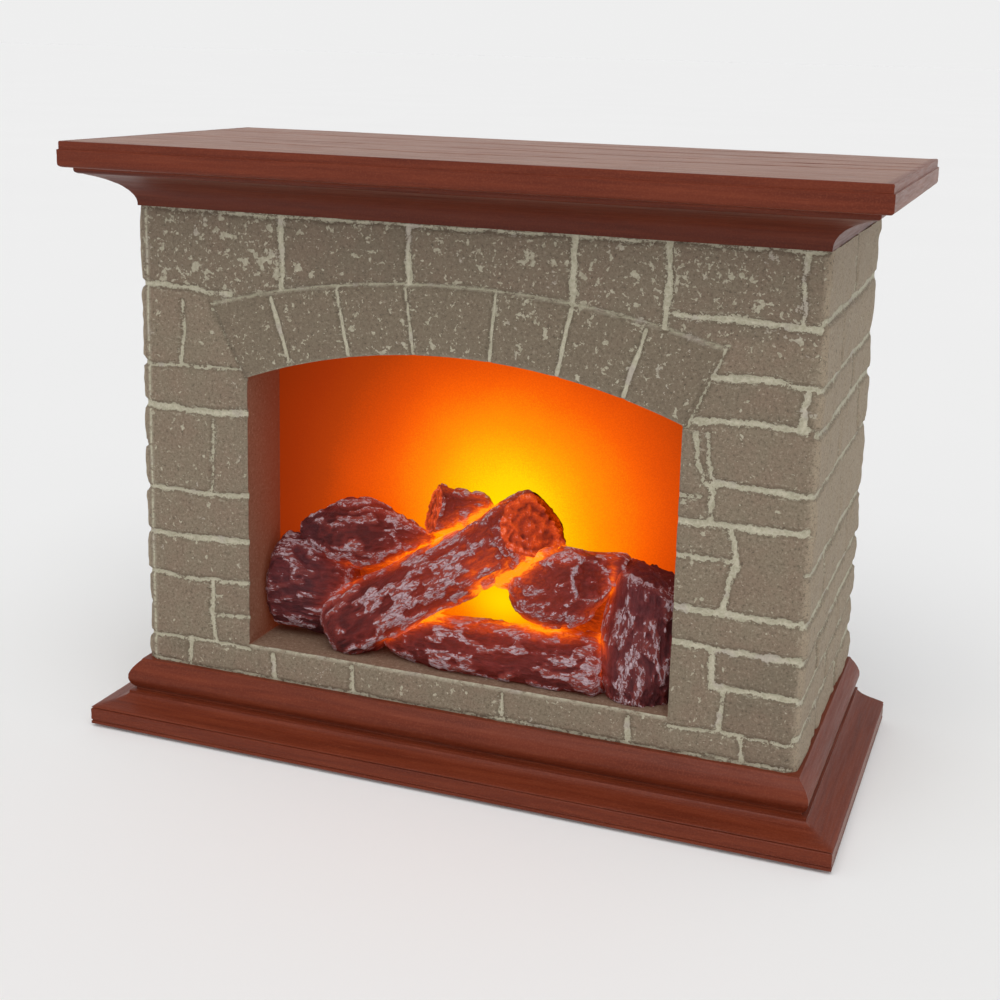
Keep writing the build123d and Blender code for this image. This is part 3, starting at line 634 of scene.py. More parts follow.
def shelf(material):
    """The mantel board: moulded front and side edges, and a grooved top."""
    step, edge = SHELF_OUT - 3, SHELF_OUT
    outline = fine_outline([
        (step, COVE_TOP), (step, COVE_TOP + 0.8), (edge - 1, COVE_TOP + 0.8),
        (edge - 0.3, COVE_TOP + 1.1, edge, COVE_TOP + 1.8), (edge, SHELF_TOP - 2.3),
        (edge - 0.4, SHELF_TOP - 2.15), (edge - 0.4, SHELF_TOP - 0.6),
        (edge - 0.45, SHELF_TOP - 0.12, edge - 0.8, SHELF_TOP),
    ], pitch=0.5)
    depths = np.linspace(0, 1, SHELF_SIDE_POINTS)
    widths = np.linspace(0, 1, SHELF_FRONT_POINTS)
    verts, travel, cross, columns = moulding_grid(outline, widths, depths, 70, grain=0.07)
    index = np.arange(len(verts)).reshape(-1, columns)
    faces = grid_faces(index)
    faces.append(index[0].tolist())
    rim = index[-1]
    deep_count, wide_count = len(depths), len(widths)
    top = np.full((deep_count, wide_count), -1)
    top[:, 0] = rim[:deep_count]
    top[-1] = rim[deep_count - 1:deep_count - 1 + wide_count]
    top[:, -1] = rim[deep_count - 2 + wide_count:][::-1]
    half = SIDE + edge - 0.8
    front = FRONT - edge + 0.8
    x, y = np.meshgrid(np.linspace(-half, half, wide_count)[1:-1], BACK + (front - BACK) * depths[:-1])
    new = np.column_stack([x.ravel(), y.ravel()])
    top[:-1, 1:-1] = np.arange(len(verts), len(verts) + len(new)).reshape(x.shape)
    solid = np.column_stack([new, np.zeros(len(new))])
    bent = np.column_stack([new[:, 0], new[:, 1] + 0.5 * noise(solid, 14, 75)])
    groove = np.zeros(len(new))
    for line in SHELF_GROOVES:
        groove = np.maximum(groove, bell(distance_to_line(bent, line), GROOVE_WIDTH))
    lift = 0.05 * noise(solid, (40, 1.1, 5), 77) + 0.04 * noise(solid, (16, 0.8, 5), 78) - 0.05
    height = SHELF_TOP + (lift - GROOVE_DEPTH * groove) * ease((half - np.abs(new[:, 0])) / 1.5)
    verts = np.vstack([verts, np.column_stack([new, height])])
    faces += grid_faces(top)
    faces.append(index[:, 0].tolist() + top[0, 1:-1].tolist() + index[::-1, -1].tolist())
    attributes = {
        "grain_run": np.append(travel, new[:, 0]),
        "grain_across": np.append(cross, new[:, 1]),
        "groove": np.append(np.zeros(len(travel)), groove),
        # The shelf top is marked for its painted reflection.
        "painted_reflection": np.append(np.zeros(len(travel)), np.ones(len(new))),
    }
    return mesh_object("mantel_shelf", verts, faces, attributes, material, sharp=35)


# ---- Logs ----
def end_rows(rounded, reach):
    """Rows that close a log's end: how far in from the end, and the share of the radius there."""
    count = max(2, round(14 * (1 - rounded)))
    rows = [(0.0, share) for share in np.linspace(0.03, 1 - rounded, count)[:-1]]
    for turn in np.linspace(0, math.pi / 2, 9):
        rows.append((reach * (1 - math.cos(turn)), 1 - rounded + rounded * math.sin(turn)))
    return rows


def log_frame(log):
    """A log's start, its length, and its directions: along it, to the front and across it."""
    start, end = np.array(log.start, float), np.array(log.end, float)
    length = np.linalg.norm(end - start)
    run = (end - start) / length
    across = np.array([-run[2], 0, run[0]])
    across /= np.linalg.norm(across)
    return start, length, run, np.cross(run, across), across


def log_scale(log, share):
    """Radius along a log, as a scale."""
    return np.interp(share, *zip(*log.scales))


def log_depth(points, log):
    """About how far every point is outside a log, in millimetres."""
    start, length, run, front, across = log_frame(log)
    offset = points - start
    ahead = offset @ run
    scale = log_scale(log, ahead / length)
    radial = np.hypot((offset @ front) / log.deep, (offset @ across) / log.tall) / scale
    beyond = np.maximum(np.maximum(-ahead, ahead - length), 0)
    radius = scale * (log.deep + log.tall) / 2
    return np.hypot((radial - 1) * radius, beyond) * np.where(radial < 1, -1, 1)


def log_points(log, seed):
    """Points of one log as rows of rings, and what the paint needs to know there."""
    start, length, run, to_front, across = log_frame(log)
    deep, tall, first, last = log.deep, log.tall, log.first, log.last
    count = int(math.pi * (deep + tall) / LOG_PITCH)
    body = np.arange(first[1] + LOG_PITCH, length - last[1], LOG_PITCH)
    rows = end_rows(*first[:2]) + [(s, 1.0) for s in body]
    rows += [(length - s, share) for s, share in end_rows(*last[:2])[::-1]]
    at = np.array([row[0] for row in rows])[:, None]
    share = np.array([row[1] for row in rows])[:, None]
    turn = np.linspace(0, 2 * math.pi, count, endpoint=False)[None, :]
    scale = log_scale(log, at / length)
    front, side = np.cos(turn) * deep * scale, np.sin(turn) * tall * scale
    grid = np.broadcast_arrays(at + seed * 50.0, front * share, side * share)
    solid = np.stack(grid, axis=-1).reshape(-1, 3)

    def field(size, number, bend=0.0):
        shift = bend * np.column_stack([noise(solid, 4, seed + 40 + k) for k in range(3)])
        return noise(solid + shift, size, seed + number).reshape(len(rows), count)

    lumps = 1 + 0.07 * field((13, 8, 8), 0) + 0.045 * field((6, 4.5, 4.5), 1)
    plates = ease((field((4.6, 1.9, 1.9), 6, 1.2) + 0.05) / 0.22)
    ridges = (1 - np.abs(field((3.4, 1.25, 1.25), 7, 0.8))) ** 2
    bark = 0.50 * plates + 0.32 * ridges + 0.18 * (field((1.6, 0.8, 0.8), 8) + 1) / 2
    cap = np.clip((1 - share) * 5, 0, 1) * np.ones_like(bark)
    rim_ring = bell(share - 0.80, 0.09)
    radius = (deep + tall) / 2 * scale
    rings = np.sin(share * radius * 2.1 + 5.0 * field((4, 3, 3), 9))
    splinter = field((9, 1.1, 1.1), 10)
    nearer_first = at < length / 2
    lit = np.where(nearer_first, *log.lit)
    rim_tone = np.where(lit > 0, 0.20, 0.75)
    face_tone = np.where(lit > 0, 0.40, 0.22)
    relief = 0.6 * rim_tone * rim_ring - 0.5 + 0.10 * rings + 0.55 * splinter
    relief = cap * (relief + 0.35 * field((9, 3, 3), 11))
    grown = share * lumps * (1 + (bark - 0.5) * 1.15 * (1 - cap) / radius)
    outward = np.where(nearer_first, -1, 1)
    lean_up = np.where(nearer_first, first[2], last[2])
    lean_back = np.where(nearer_first, first[3], last[3])
    near_end = ease(1 - np.minimum(at, length - at) / 10.0)
    shift = outward * (relief - (lean_up * side + lean_back * front) * grown * near_end)
    place = (start + run * (at + shift)[..., None] + to_front * (front * grown)[..., None]
             + across * (side * grown)[..., None])
    rim = ease((np.abs(side) / (tall * scale) - 0.70) / 0.30) * (1 - cap)
    end_bark = face_tone + 0.12 * rings + 0.24 * splinter + rim_tone * rim_ring
    paint = {
        "bark": bark * (1 - cap) + cap * end_bark,
        "rim": rim,
        "lit": np.where(cap > 0.5, lit, 0),
        # Marks the logs towards the sides of the firebox for painted shade.
        "outer": ease((np.abs(place[..., 0]) - 38) / 10),
        "log_at": solid[:, 0],
        "log_front": solid[:, 1],
        "log_side": solid[:, 2],
    }
    return place, {key: np.ravel(value) for key, value in paint.items()}


def log_glow(points, own, rim, lit, bark):
    """How strongly the fire shines through: in creases, along the lit edges and on broken ends."""
    crease = np.full(len(points), 9.0)
    for number, log in enumerate(LOGS):
        if number != own and {number, own} != JOINED_LOGS:
            crease = np.minimum(crease, np.abs(log_depth(points, log)))
    near = 0.48 * bell(crease, 0.9) + 0.52 * bell(crease, 3.6)
    across, up = points[:, 0], points[:, 2]
    middle = bell(across - 8, 32) * bell(up - 58, 26)
    hot = bell(across - SECOND_GLOW[0], 15) * bell(up - SECOND_GLOW[1], 9)
    wide = 0.34 * ease((across + 52) / 22) * ease((48 - across) / 6) * ease((up - 29.5) / 5)
    glow = near * (0.72 * middle + wide) + rim * (0.30 * middle + 0.3 * wide) + 0.5 * hot * near
    glow += (0.55 - 0.46 * bark) * np.maximum(middle, 0.8 * wide)
    return np.where(lit > 0, lit * np.clip(0.25 + 1.25 * bark, 0, 1.1), glow)


def log_fire(material):
    """Every log of the fire and the thin web behind them."""
    verts, faces, paints = [], [], []
    first = 0
    for number, log in enumerate(LOGS):
        place, paint = log_points(log, 100 + 12 * number)
        rows, count = place.shape[:2]
        ends = np.array([place[0].mean(axis=0), place[-1].mean(axis=0)])
        points = np.vstack([place.reshape(-1, 3), ends])
        index = np.arange(rows * count).reshape(rows, count) + first
        faces += grid_faces(np.column_stack([index, index[:, 0]]))
        for row, tip in ((index[0], first + rows * count), (index[-1], first + rows * count + 1)):
            faces += [[a, b, tip] for a, b in zip(row.tolist(), np.roll(row, -1).tolist())]
        paint = {key: np.append(value, [value[0], value[-1]]) for key, value in paint.items()}
        paint["glow"] = log_glow(points, number, paint.pop("rim"), paint.pop("lit"), paint["bark"])
        verts.append(points)
        paints.append(paint)
        first += len(points)
    web_verts, web_faces = log_web(first)
    plain = np.zeros(len(web_verts))
    web_paint = {key: plain for key in paints[0]}
    web_paint.update(log_at=web_verts[:, 0], log_front=web_verts[:, 1], log_side=web_verts[:, 2])
    web_paint["glow"] = 0.25 + 0.7 * log_glow(web_verts, -1, plain, plain, plain)
    verts = np.vstack(verts + [web_verts])
    paints.append(web_paint)
    reach = LOGS_HIGH[0] - 0.1
    verts[:, 0] = np.clip(verts[:, 0], -reach, reach)
    verts[:, 1] = np.clip(verts[:, 1], LOGS_LOW[1], LOGS_HIGH[1])
    verts[:, 2] = np.maximum(verts[:, 2], LOGS_LOW[2])
    attributes = {key: np.concatenate([paint[key] for paint in paints]) for key in paints[0]}
    return mesh_object("log_fire", verts, faces + web_faces, attributes, material, sharp=70)


def log_web(first):
    """A rumpled sheet that joins the logs at the back, with the gap that the lamps shine through."""
    x, z = np.meshgrid(np.arange(-WEB_REACH, WEB_REACH + 0.1, WEB_PITCH),
                       np.arange(WEB_LOW, WEB_HIGH, WEB_PITCH))
    flat = np.column_stack([x.ravel(), z.ravel()])
    kept = (inside(flat, WEB) & ~inside(flat, WEB_GAP)).reshape(x.shape)
    cells = np.argwhere(kept[:-1, :-1] & kept[:-1, 1:] & kept[1:, 1:] & kept[1:, :-1])
    index = np.arange(x.size).reshape(x.shape)
    count = x.size
    edges = {}
    faces = []
    for row, column in cells.tolist():
        quad = [index[row, column], index[row, column + 1],
                index[row + 1, column + 1], index[row + 1, column]]
        faces.append(quad)
        faces.append([corner + count for corner in quad[::-1]])
        for a, b in zip(quad, quad[1:] + quad[:1]):
            edges[(a, b)] = edges.get((a, b), 0) + 1
    for a, b in edges:
        if (b, a) not in edges:
            faces.append([a, b, b + count, a + count])
    flat3 = np.column_stack([flat, np.zeros(len(flat))])
    front = LOGS_HIGH[1] - 1.3 + 0.5 * noise(flat3, 4, 90)
    sheet = np.column_stack([flat[:, 0], front, flat[:, 1]])
    rear = np.column_stack([flat[:, 0], np.full(len(flat), LOGS_HIGH[1] - 0.2), flat[:, 1]])
    points = np.vstack([sheet, rear])
    used, faces = used_points(faces, len(points), first)
    return points[used], faces


# ---- Materials ----
def linear(tone):
    """A tone for a shader: a screen colour of three numbers, 0 to 255, becomes linear values."""
    if isinstance(tone, bpy.types.NodeSocket) or len(tone) == 4:
        return tone
    channels = [value / 255 for value in tone]
    return [((c + 0.055) / 1.055) ** 2.4 if c > 0.04045 else c / 12.92 for c in channels] + [1.0]


class Nodes:
    """A node tree. Each method adds a node, and all but add return the socket with its result."""

    def __init__(self, owner):
        owner.use_nodes = True
        self.nodes = owner.node_tree.nodes
        self.links = owner.node_tree.links

    def add(self, kind, values, **options):
        node = self.nodes.new("ShaderNode" + kind)
        for key, value in options.items():
            setattr(node, key, value)
        for key, value in values.items():
            if isinstance(value, bpy.types.NodeSocket):
                self.links.new(value, node.inputs[key])
            else:
                node.inputs[key].default_value = value
        return node

    def read(self, attribute):
        return self.add("Attribute", {}, attribute_name=attribute).outputs["Fac"]

    def place(self, stretch=(1, 1, 1)):
        where = self.add("TexCoord", {}).outputs["Object"]
        return self.add("Mapping", {"Vector": where, "Scale": stretch}).outputs["Vector"]

    def noise(self, where, scale, detail=3.0, rough=0.55, twist=0.0):
        values = {"Vector": where, "Scale": scale, "Detail": detail}
        values.update(Roughness=rough, Distortion=twist)
        return self.add("TexNoise", values).outputs[0]

    def remap(self, value, low, high, to_low=0.0, to_high=1.0):
        values = {"Value": value, "From Min": low, "From Max": high, "To Min": to_low, "To Max": to_high}
        return self.add("MapRange", values, interpolation_type="SMOOTHSTEP").outputs[0]

    def maths(self, operation, first, second):
        return self.add("Math", {0: first, 1: second}, operation=operation).outputs[0]

    def times(self, first, second):
        return self.maths("MULTIPLY", first, second)

    def plus(self, first, second):
        return self.maths("ADD", first, second)

    def blend(self, share, first, second):
        values = {0: share, 6: first, 7: linear(second)}
        return self.add("Mix", values, data_type="RGBA").outputs[2]

    def tint(self, first, share, most, second):
        return self.blend(self.times(share, most), first, second)

    def ramp(self, share, *stops):
        node = self.add("ValToRGB", {"Fac": share})
        elements = node.color_ramp.elements
        while len(elements) < len(stops):
            elements.new(0.5)
        for element, (position, tone) in zip(elements, stops):
            element.position = position
            element.color = linear(tone)
        return node.outputs["Color"]

    def bump(self, height, distance, strength=1.0, before=None):
        values = {"Height": height, "Distance": distance, "Strength": strength}
        if before is not None:
            values["Normal"] = before
        return self.add("Bump", values).outputs["Normal"]


class Finish(Nodes):
    """The nodes of one material round its Principled shader."""

    def __init__(self, name, **constants):
        self.material = bpy.data.materials.new(name)
        super().__init__(self.material)
        self.shader = self.nodes["Principled BSDF"]
        for key, value in constants.items():
            self.shader.inputs[key.replace("_", " ")].default_value = value

    def finish(self, **sockets):
        for key, value in sockets.items():
            self.links.new(value, self.shader.inputs[key.replace("_", " ")])
        return self.material


def stone_paint():
    """Grey-brown moulded stone, dry-brushed pale in the joints and in flecks, with painted highlights on
    edges.
    """
    made = Finish("stone_paint", Specular_IOR_Level=0.25, Emission_Strength=1.0)
    where = made.place()
    joint, tone, side = made.read("joint"), made.read("tone"), made.read("side")
    mottle = made.noise(where, 130, 4, 0.6)
    fine = made.noise(where, 2400, 3, 0.65)
    pits = made.noise(where, 1150, 4, 0.7)
    base = made.ramp(tone, (0.0, (122, 110, 93)), (0.5, (130, 117, 99)), (1.0, (139, 126, 107)))
    base = made.tint(base, made.remap(mottle, 0.35, 0.7), 0.7, (134, 115, 98))
    base = made.tint(base, made.read("ring"), 0.6, (124, 112, 94))
    # Painted light: the sides are painted paler, standing for the brighter light they catch.
    base = made.tint(base, side, 0.75, (168, 152, 130))
    base = made.tint(base, made.remap(pits, 0.47, 0.33), 0.62, (80, 70, 57))
    base = made.tint(base, made.remap(pits, 0.54, 0.68), 0.6, (170, 159, 139))
    base = made.tint(base, made.remap(fine, 0.50, 0.70), 0.5, (82, 74, 60))
    base = made.blend(made.remap(made.read("fleck"), 0.55, 0.85, 0.0, 0.22), base, (92, 80, 68))
    ragged = made.noise(where, 900, 3, 0.7)
    tear = made.remap(made.read("ring"), 0.0, 1.0, 1.0, 0.35)
    torn = made.plus(joint, made.times(made.remap(ragged, 0.25, 0.75, -0.45, 0.45), tear))
    # Painted shade on the stone beside each recessed joint.
    shade = made.times(made.remap(joint, 1.0, 0.25), 0.30)
    base = made.blend(shade, base, (84, 74, 60))
    paint = made.remap(torn, 0.14, -0.12)
    brush = made.noise(made.place((1, 1, 2.2)), 520, 4, 0.7)
    near = made.times(made.remap(joint, 1.9, 0.2), made.remap(brush, 0.56, 0.66))
    # Painted highlights along the edges that the edge attribute marks, broken up by the brush noise.
    edge = made.times(made.read("edge"), made.remap(brush, 0.36, 0.52))
    wanted = made.times(made.read("fleck"), 0.15)
    flecks = made.remap(made.plus(made.noise(where, 400, 3, 0.6, 0.3), wanted), 0.735, 0.765)
    specks = made.remap(made.plus(made.noise(where, 900, 3, 0.6), wanted), 0.755, 0.79)
    pale = paint
    for extra, most in ((near, 0.6), (edge, 0.9), (flecks, 0.75), (specks, 0.6)):
        pale = made.maths("MAXIMUM", pale, made.times(extra, most))
    cream = made.ramp(ragged, (0.3, (160, 154, 132)), (0.7, (202, 196, 174)))
    rose = made.remap(made.noise(where, 120, 2, 0.5), 0.57, 0.70, 0.0, 0.35)
    cream = made.blend(rose, cream, (172, 156, 158))
    # Painted firelight on the jambs and sill: an orange tint and a faint orange glow, though the stone
    # is no lamp.
    warm = made.read("warm")
    finished = made.blend(made.times(warm, 0.75), made.blend(pale, base, cream), (140, 66, 42))
    shine = made.ramp(warm, (0.0, (0, 0, 0, 1)), (1.0, (0.055, 0.006, 0.0, 1)))
    rough = made.remap(fine, 0.2, 0.8, 0.62, 0.85)
    height = made.plus(fine, made.times(pale, 0.6))
    normal = made.bump(made.noise(where, 420, 5, 0.65), 0.00035, 0.7)
    normal = made.bump(height, 0.00012, 0.8, normal)
    return made.finish(Base_Color=finished, Emission_Color=shine, Roughness=rough, Normal=normal)


def wood_paint(name, shade):
    """Red-brown paint over moulded wood grain, satin and a little worn; shade darkens it."""
    made = Finish(name, Specular_IOR_Level=0.2, Sheen_Weight=0.2, Sheen_Roughness=0.22,
                  Sheen_Tint=(1.0, 0.84, 0.70, 1))
    run = made.times(made.read("grain_run"), 0.001)
    across = made.times(made.read("grain_across"), 0.001)
    where = made.add("CombineXYZ", {0: run, 1: across}).outputs[0]
    stretched = made.add("Mapping", {"Vector": where, "Scale": (0.05, 1, 1)}).outputs["Vector"]
    broad = made.noise(stretched, 520, 4, 0.6, 0.4)
    thin = made.noise(stretched, 1900, 3, 0.6, 0.2)
    dust = made.noise(made.place(), 2300, 2, 0.5)
    base = made.ramp(broad, (0.30, (96, 36, 18)), (0.5, (107, 43, 23)), (0.72, (118, 52, 30)))
    scratch = made.times(made.remap(thin, 0.63, 0.74), 0.35)
    base = made.blend(scratch, base, (148, 80, 54))
    dark = made.times(made.remap(thin, 0.40, 0.26), 0.35)
    base = made.blend(dark, base, (72, 30, 22))
    base = made.tint(base, made.remap(dust, 0.45, 0.7), 0.35, (134, 66, 42))
    # Painted reflection: the shelf top is paled in streaks, standing for the bright surround reflected
    # at a grazing angle.
    painted_reflection = made.times(made.read("painted_reflection"), made.remap(broad, 0.3, 0.7, 0.16, 0.30))
    base = made.blend(painted_reflection, base, (206, 168, 146))
    base = made.tint(base, made.read("groove"), 0.75, (58, 24, 20))
    # Painted shade: the given share darkens the paint all over, and up to 0.05 more where the broad
    # grain is low; the cove uses it for the shadow under the shelf.
    base = made.blend(made.remap(broad, 0.3, 0.7, shade + 0.05, shade), base, (52, 22, 16))
    rough = made.remap(thin, 0.25, 0.75, 0.34, 0.5)
    normal = made.bump(thin, 0.00014, 0.6, made.bump(dust, 0.00005, 0.5))
    return made.finish(Base_Color=base, Roughness=rough, Normal=normal)


def log_paint():
    """Translucent maroon bark brushed lilac-grey on its ridges, with the fire shining through."""
    made = Finish("log_paint", Specular_IOR_Level=0.3, Emission_Strength=1.0)
    bark, glow = made.read("bark"), made.read("glow")
    axes = [made.times(made.read(key), scale)
            for key, scale in (("log_at", 0.0004), ("log_front", 0.001), ("log_side", 0.001))]
    where = made.add("CombineXYZ", dict(enumerate(axes))).outputs[0]
    streak = made.noise(where, 1250, 4, 0.7, 0.8)
    fine = made.noise(where, 2200, 3, 0.65)
    broad = made.noise(where, 200, 3, 0.5)
    base = made.ramp(bark, (0.15, (62, 18, 20)), (0.45, (121, 40, 36)), (0.80, (156, 68, 57)))
    base = made.tint(base, made.remap(fine, 0.55, 0.38), 0.35, (70, 24, 27))
    # Painted shade: the logs towards the sides of the firebox are painted duller and darker, for the
    # weaker firelight there.
    base = made.tint(base, made.read("outer"), 0.5, (96, 42, 48))
    base = made.blend(made.remap(glow, 0.3, 1.0), base, (150, 40, 18))
    ridge = made.times(bark, 0.95)
    level = made.plus(ridge, made.remap(streak, 0.3, 0.7, -0.40, 0.40))
    level = made.plus(level, made.remap(broad, 0.3, 0.7, -0.12, 0.12))
    dry = made.times(made.remap(level, 0.73, 0.78), made.remap(glow, 0.8, 0.25, 0.25, 0.9))
    lilac = made.ramp(fine, (0.35, (150, 116, 122)), (0.6, (208, 186, 193)))
    finished = made.blend(dry, base, lilac)
    lit = made.times(glow, made.remap(streak, 0.3, 0.7, 0.75, 1.2))
    lit = made.times(lit, made.remap(dry, 0.0, 1.0, 1.0, 0.45))
    fire = made.ramp(lit, (0.03, (0, 0, 0, 1)), (0.15, (0.045, 0.002, 0.0, 1)),
                     (0.35, (0.15, 0.010, 0.0, 1)), (0.60, (0.48, 0.045, 0.001, 1)),
                     (0.85, (0.88, 0.15, 0.002, 1)), (1.0, (1.0, 0.34, 0.004, 1)))
    rough = made.remap(fine, 0.2, 0.8, 0.44, 0.66)
    normal = made.bump(fine, 0.00014, 0.8, made.bump(level, 0.0005, 0.8))
    return made.finish(Base_Color=finished, Emission_Color=fire, Roughness=rough, Normal=normal)


def screen_glow():
    """The lit screen: yellow over the lamps, orange round them and deep orange at the corners."""
    made = Finish("screen_glow", Roughness=0.7, Specular_IOR_Level=0.05, Emission_Strength=1.0)
    where = made.place()

    def spot(middle, wide, tall):
        shift = (-middle[0] / 1000 / wide, 0, -middle[1] / 1000 / tall)
        scale = (1 / wide, 0, 1 / tall)
        moved = made.add("Mapping", {"Vector": where, "Location": shift, "Scale": scale})
        return made.add("VectorMath", {0: moved.outputs["Vector"]}, operation="LENGTH").outputs["Value"]

    grain = made.noise(where, 2600, 2, 0.5)
    uneven = made.noise(where, 30, 2, 0.5)
    main = made.plus(spot(FIRE_MIDDLE, 0.080, 0.080), made.remap(grain, 0.2, 0.8, -0.03, 0.03))
    main = made.plus(main, made.remap(uneven, 0.3, 0.7, -0.02, 0.02))
    fire = made.ramp(main, (0.0, (255, 228, 0)), (0.14, (254, 210, 0)), (0.225, (253, 178, 0)),
                     (0.31, (253, 147, 0)), (0.375, (254, 127, 1)), (0.46, (250, 96, 1)),
                     (0.55, (226, 79, 2)), (0.625, (206, 70, 3)), (0.725, (175, 58, 4)),
                     (0.85, (156, 47, 4)), (1.0, (136, 41, 5)))
    gap = made.remap(spot(SECOND_GLOW, 0.016, 0.012), 1.0, 0.0)
    lit = made.blend(gap, fire, (255, 214, 0))
    body = made.ramp(grain, (0.3, (24, 8, 2)), (0.7, (34, 12, 4)))
    return made.finish(Base_Color=body, Emission_Color=lit)


def moulded_plastic(name, tone, light, grain=1600, rough=(0.45, 0.62)):
    """Injection-moulded plastic with a fine spark-eroded texture."""
    made = Finish(name, Specular_IOR_Level=0.45)
    where = made.place()
    texture = made.noise(where, grain, 3, 0.6)
    broad = made.noise(where, 60, 3, 0.5)
    base = made.ramp(broad, (0.3, tone), (0.7, light))
    base = made.blend(made.times(made.remap(texture, 0.55, 0.8), 0.3), base, light)
    surface = made.remap(texture, 0.2, 0.8, *rough)
    return made.finish(Base_Color=base, Roughness=surface, Normal=made.bump(texture, 0.00012, 0.7))


def brushed_steel(name, tone, light):
    """Plated steel with fine scratches."""
    made = Finish(name, Metallic=1.0)
    scratch = made.noise(made.place((1, 14, 3)), 900, 3, 0.6)
    spots = made.noise(made.place(), 500, 3, 0.6)
    base = made.ramp(spots, (0.3, tone), (0.7, light))
    return made.finish(Base_Color=base, Roughness=made.remap(scratch, 0.2, 0.8, 0.22, 0.42),
                       Normal=made.bump(scratch, 0.00004, 0.5))


def cell_jacket():
    """A battery cell: a dark sleeve with a copper-coloured band at each end."""
    made = Finish("cell_jacket", Specular_IOR_Level=0.5)
    where = made.place()
    along = made.add("SeparateXYZ", {0: where}).outputs[0]
    wave = made.noise(made.place((1, 4, 4)), 300, 2, 0.5)
    edge = made.plus(made.maths("ABSOLUTE", along, 0.0), made.remap(wave, 0.2, 0.8, -0.0002, 0.0002))
    band = made.remap(edge, 0.0168, 0.0172)
    sleeve = made.ramp(wave, (0.3, (28, 44, 38)), (0.7, (36, 56, 48)))
    ring = made.ramp(wave, (0.3, (168, 112, 66)), (0.7, (190, 132, 82)))
    base = made.blend(band, sleeve, ring)
    return made.finish(Base_Color=base, Roughness=made.remap(wave, 0.2, 0.8, 0.22, 0.36))


def board_laminate():
    """Green circuit board with paler copper tracks under the lacquer."""
    made = Finish("board_laminate", Specular_IOR_Level=0.5)
    where = made.place()
    tracks = made.add("TexWave", {"Vector": made.place((1, 1, 0.35)), "Scale": 95.0, "Distortion": 5.0,
                                  "Detail": 1.0}, wave_profile="SIN").outputs["Fac"]
    weave = made.noise(where, 1800, 2, 0.5)
    base = made.ramp(weave, (0.3, (14, 62, 38)), (0.7, (20, 78, 46)))
    base = made.tint(base, made.remap(tracks, 0.72, 0.8), 0.6, (52, 122, 70))
    return made.finish(Base_Color=base, Roughness=made.remap(weave, 0.2, 0.8, 0.25, 0.4),
                       Normal=made.bump(tracks, 0.00006, 0.5))


def lamp_lens():
    """The warm tinted dome of a lit lamp."""
    made = Finish("lamp_lens", Specular_IOR_Level=0.5, Emission_Strength=1.0)
    swirl = made.noise(made.place(), 700, 2, 0.5)
    base = made.ramp(swirl, (0.3, (246, 168, 60)), (0.7, (255, 196, 96)))
    lit = made.ramp(swirl, (0.3, (0.9, 0.34, 0.02, 1)), (0.7, (1.0, 0.52, 0.05, 1)))
    rough = made.remap(swirl, 0.2, 0.8, 0.1, 0.2)
    return made.finish(Base_Color=base, Emission_Color=lit, Roughness=rough)


def paint_cad_nodes():
    """Gives every CAD node that stays in view its own finish."""
    dark = moulded_plastic("dark_moulding", (44, 34, 31), (58, 46, 42))
    steel = brushed_steel("screw_steel", (0.46, 0.46, 0.47, 1), (0.60, 0.60, 0.60, 1))
    contact = brushed_steel("contact_steel", (0.62, 0.60, 0.56, 1), (0.74, 0.72, 0.68, 1))
    black = moulded_plastic("black_component", (22, 22, 24), (36, 36, 38), 2600)
    wire = {"grain": 900, "rough": (0.3, 0.45)}
    finishes = {
        "foot_pads": moulded_plastic("foot_rubber", (26, 25, 25), (44, 43, 42), 900, (0.75, 0.92)),
        "backdrop_screen": screen_glow(),
        "led_board": board_laminate(),
        "switch_knob": moulded_plastic("switch_plastic", (196, 192, 182), (214, 210, 202), 1200),
        "red_lead": moulded_plastic("red_insulation", (150, 20, 18), (178, 32, 26), **wire),
        "switch_lead": moulded_plastic("red_sleeve", (150, 20, 18), (178, 32, 26), **wire),
        "black_lead": moulded_plastic("black_sleeve", (18, 18, 19), (34, 34, 35), **wire),
    }
    shared = (
        (dark, ("rear_cover", "bottom_plate", "battery_tray", "battery_door")),
        (black, ("flicker_chip", "resistors", "switch_body")),
        (contact, ("contact_springs", "contact_plates")),
        (cell_jacket(), ("battery_cell_1", "battery_cell_2", "battery_cell_3")),
        (lamp_lens(), ("led_1", "led_2", "led_3")),
    )
    for material, names in shared:
        finishes.update(dict.fromkeys(names, material))
    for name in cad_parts:
        if name.endswith("_screws") or name == "door_screw":
            finishes[name] = steel
    for name, material in finishes.items():
        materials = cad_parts[name].data.materials
        materials.clear()
        materials.append(material)


# ---- The object ----
def add_piece(made, node):
    """The piece rides on the mantel and takes the place of a CAD node, which it hides."""
    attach(made, "mantel")
    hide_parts(node)


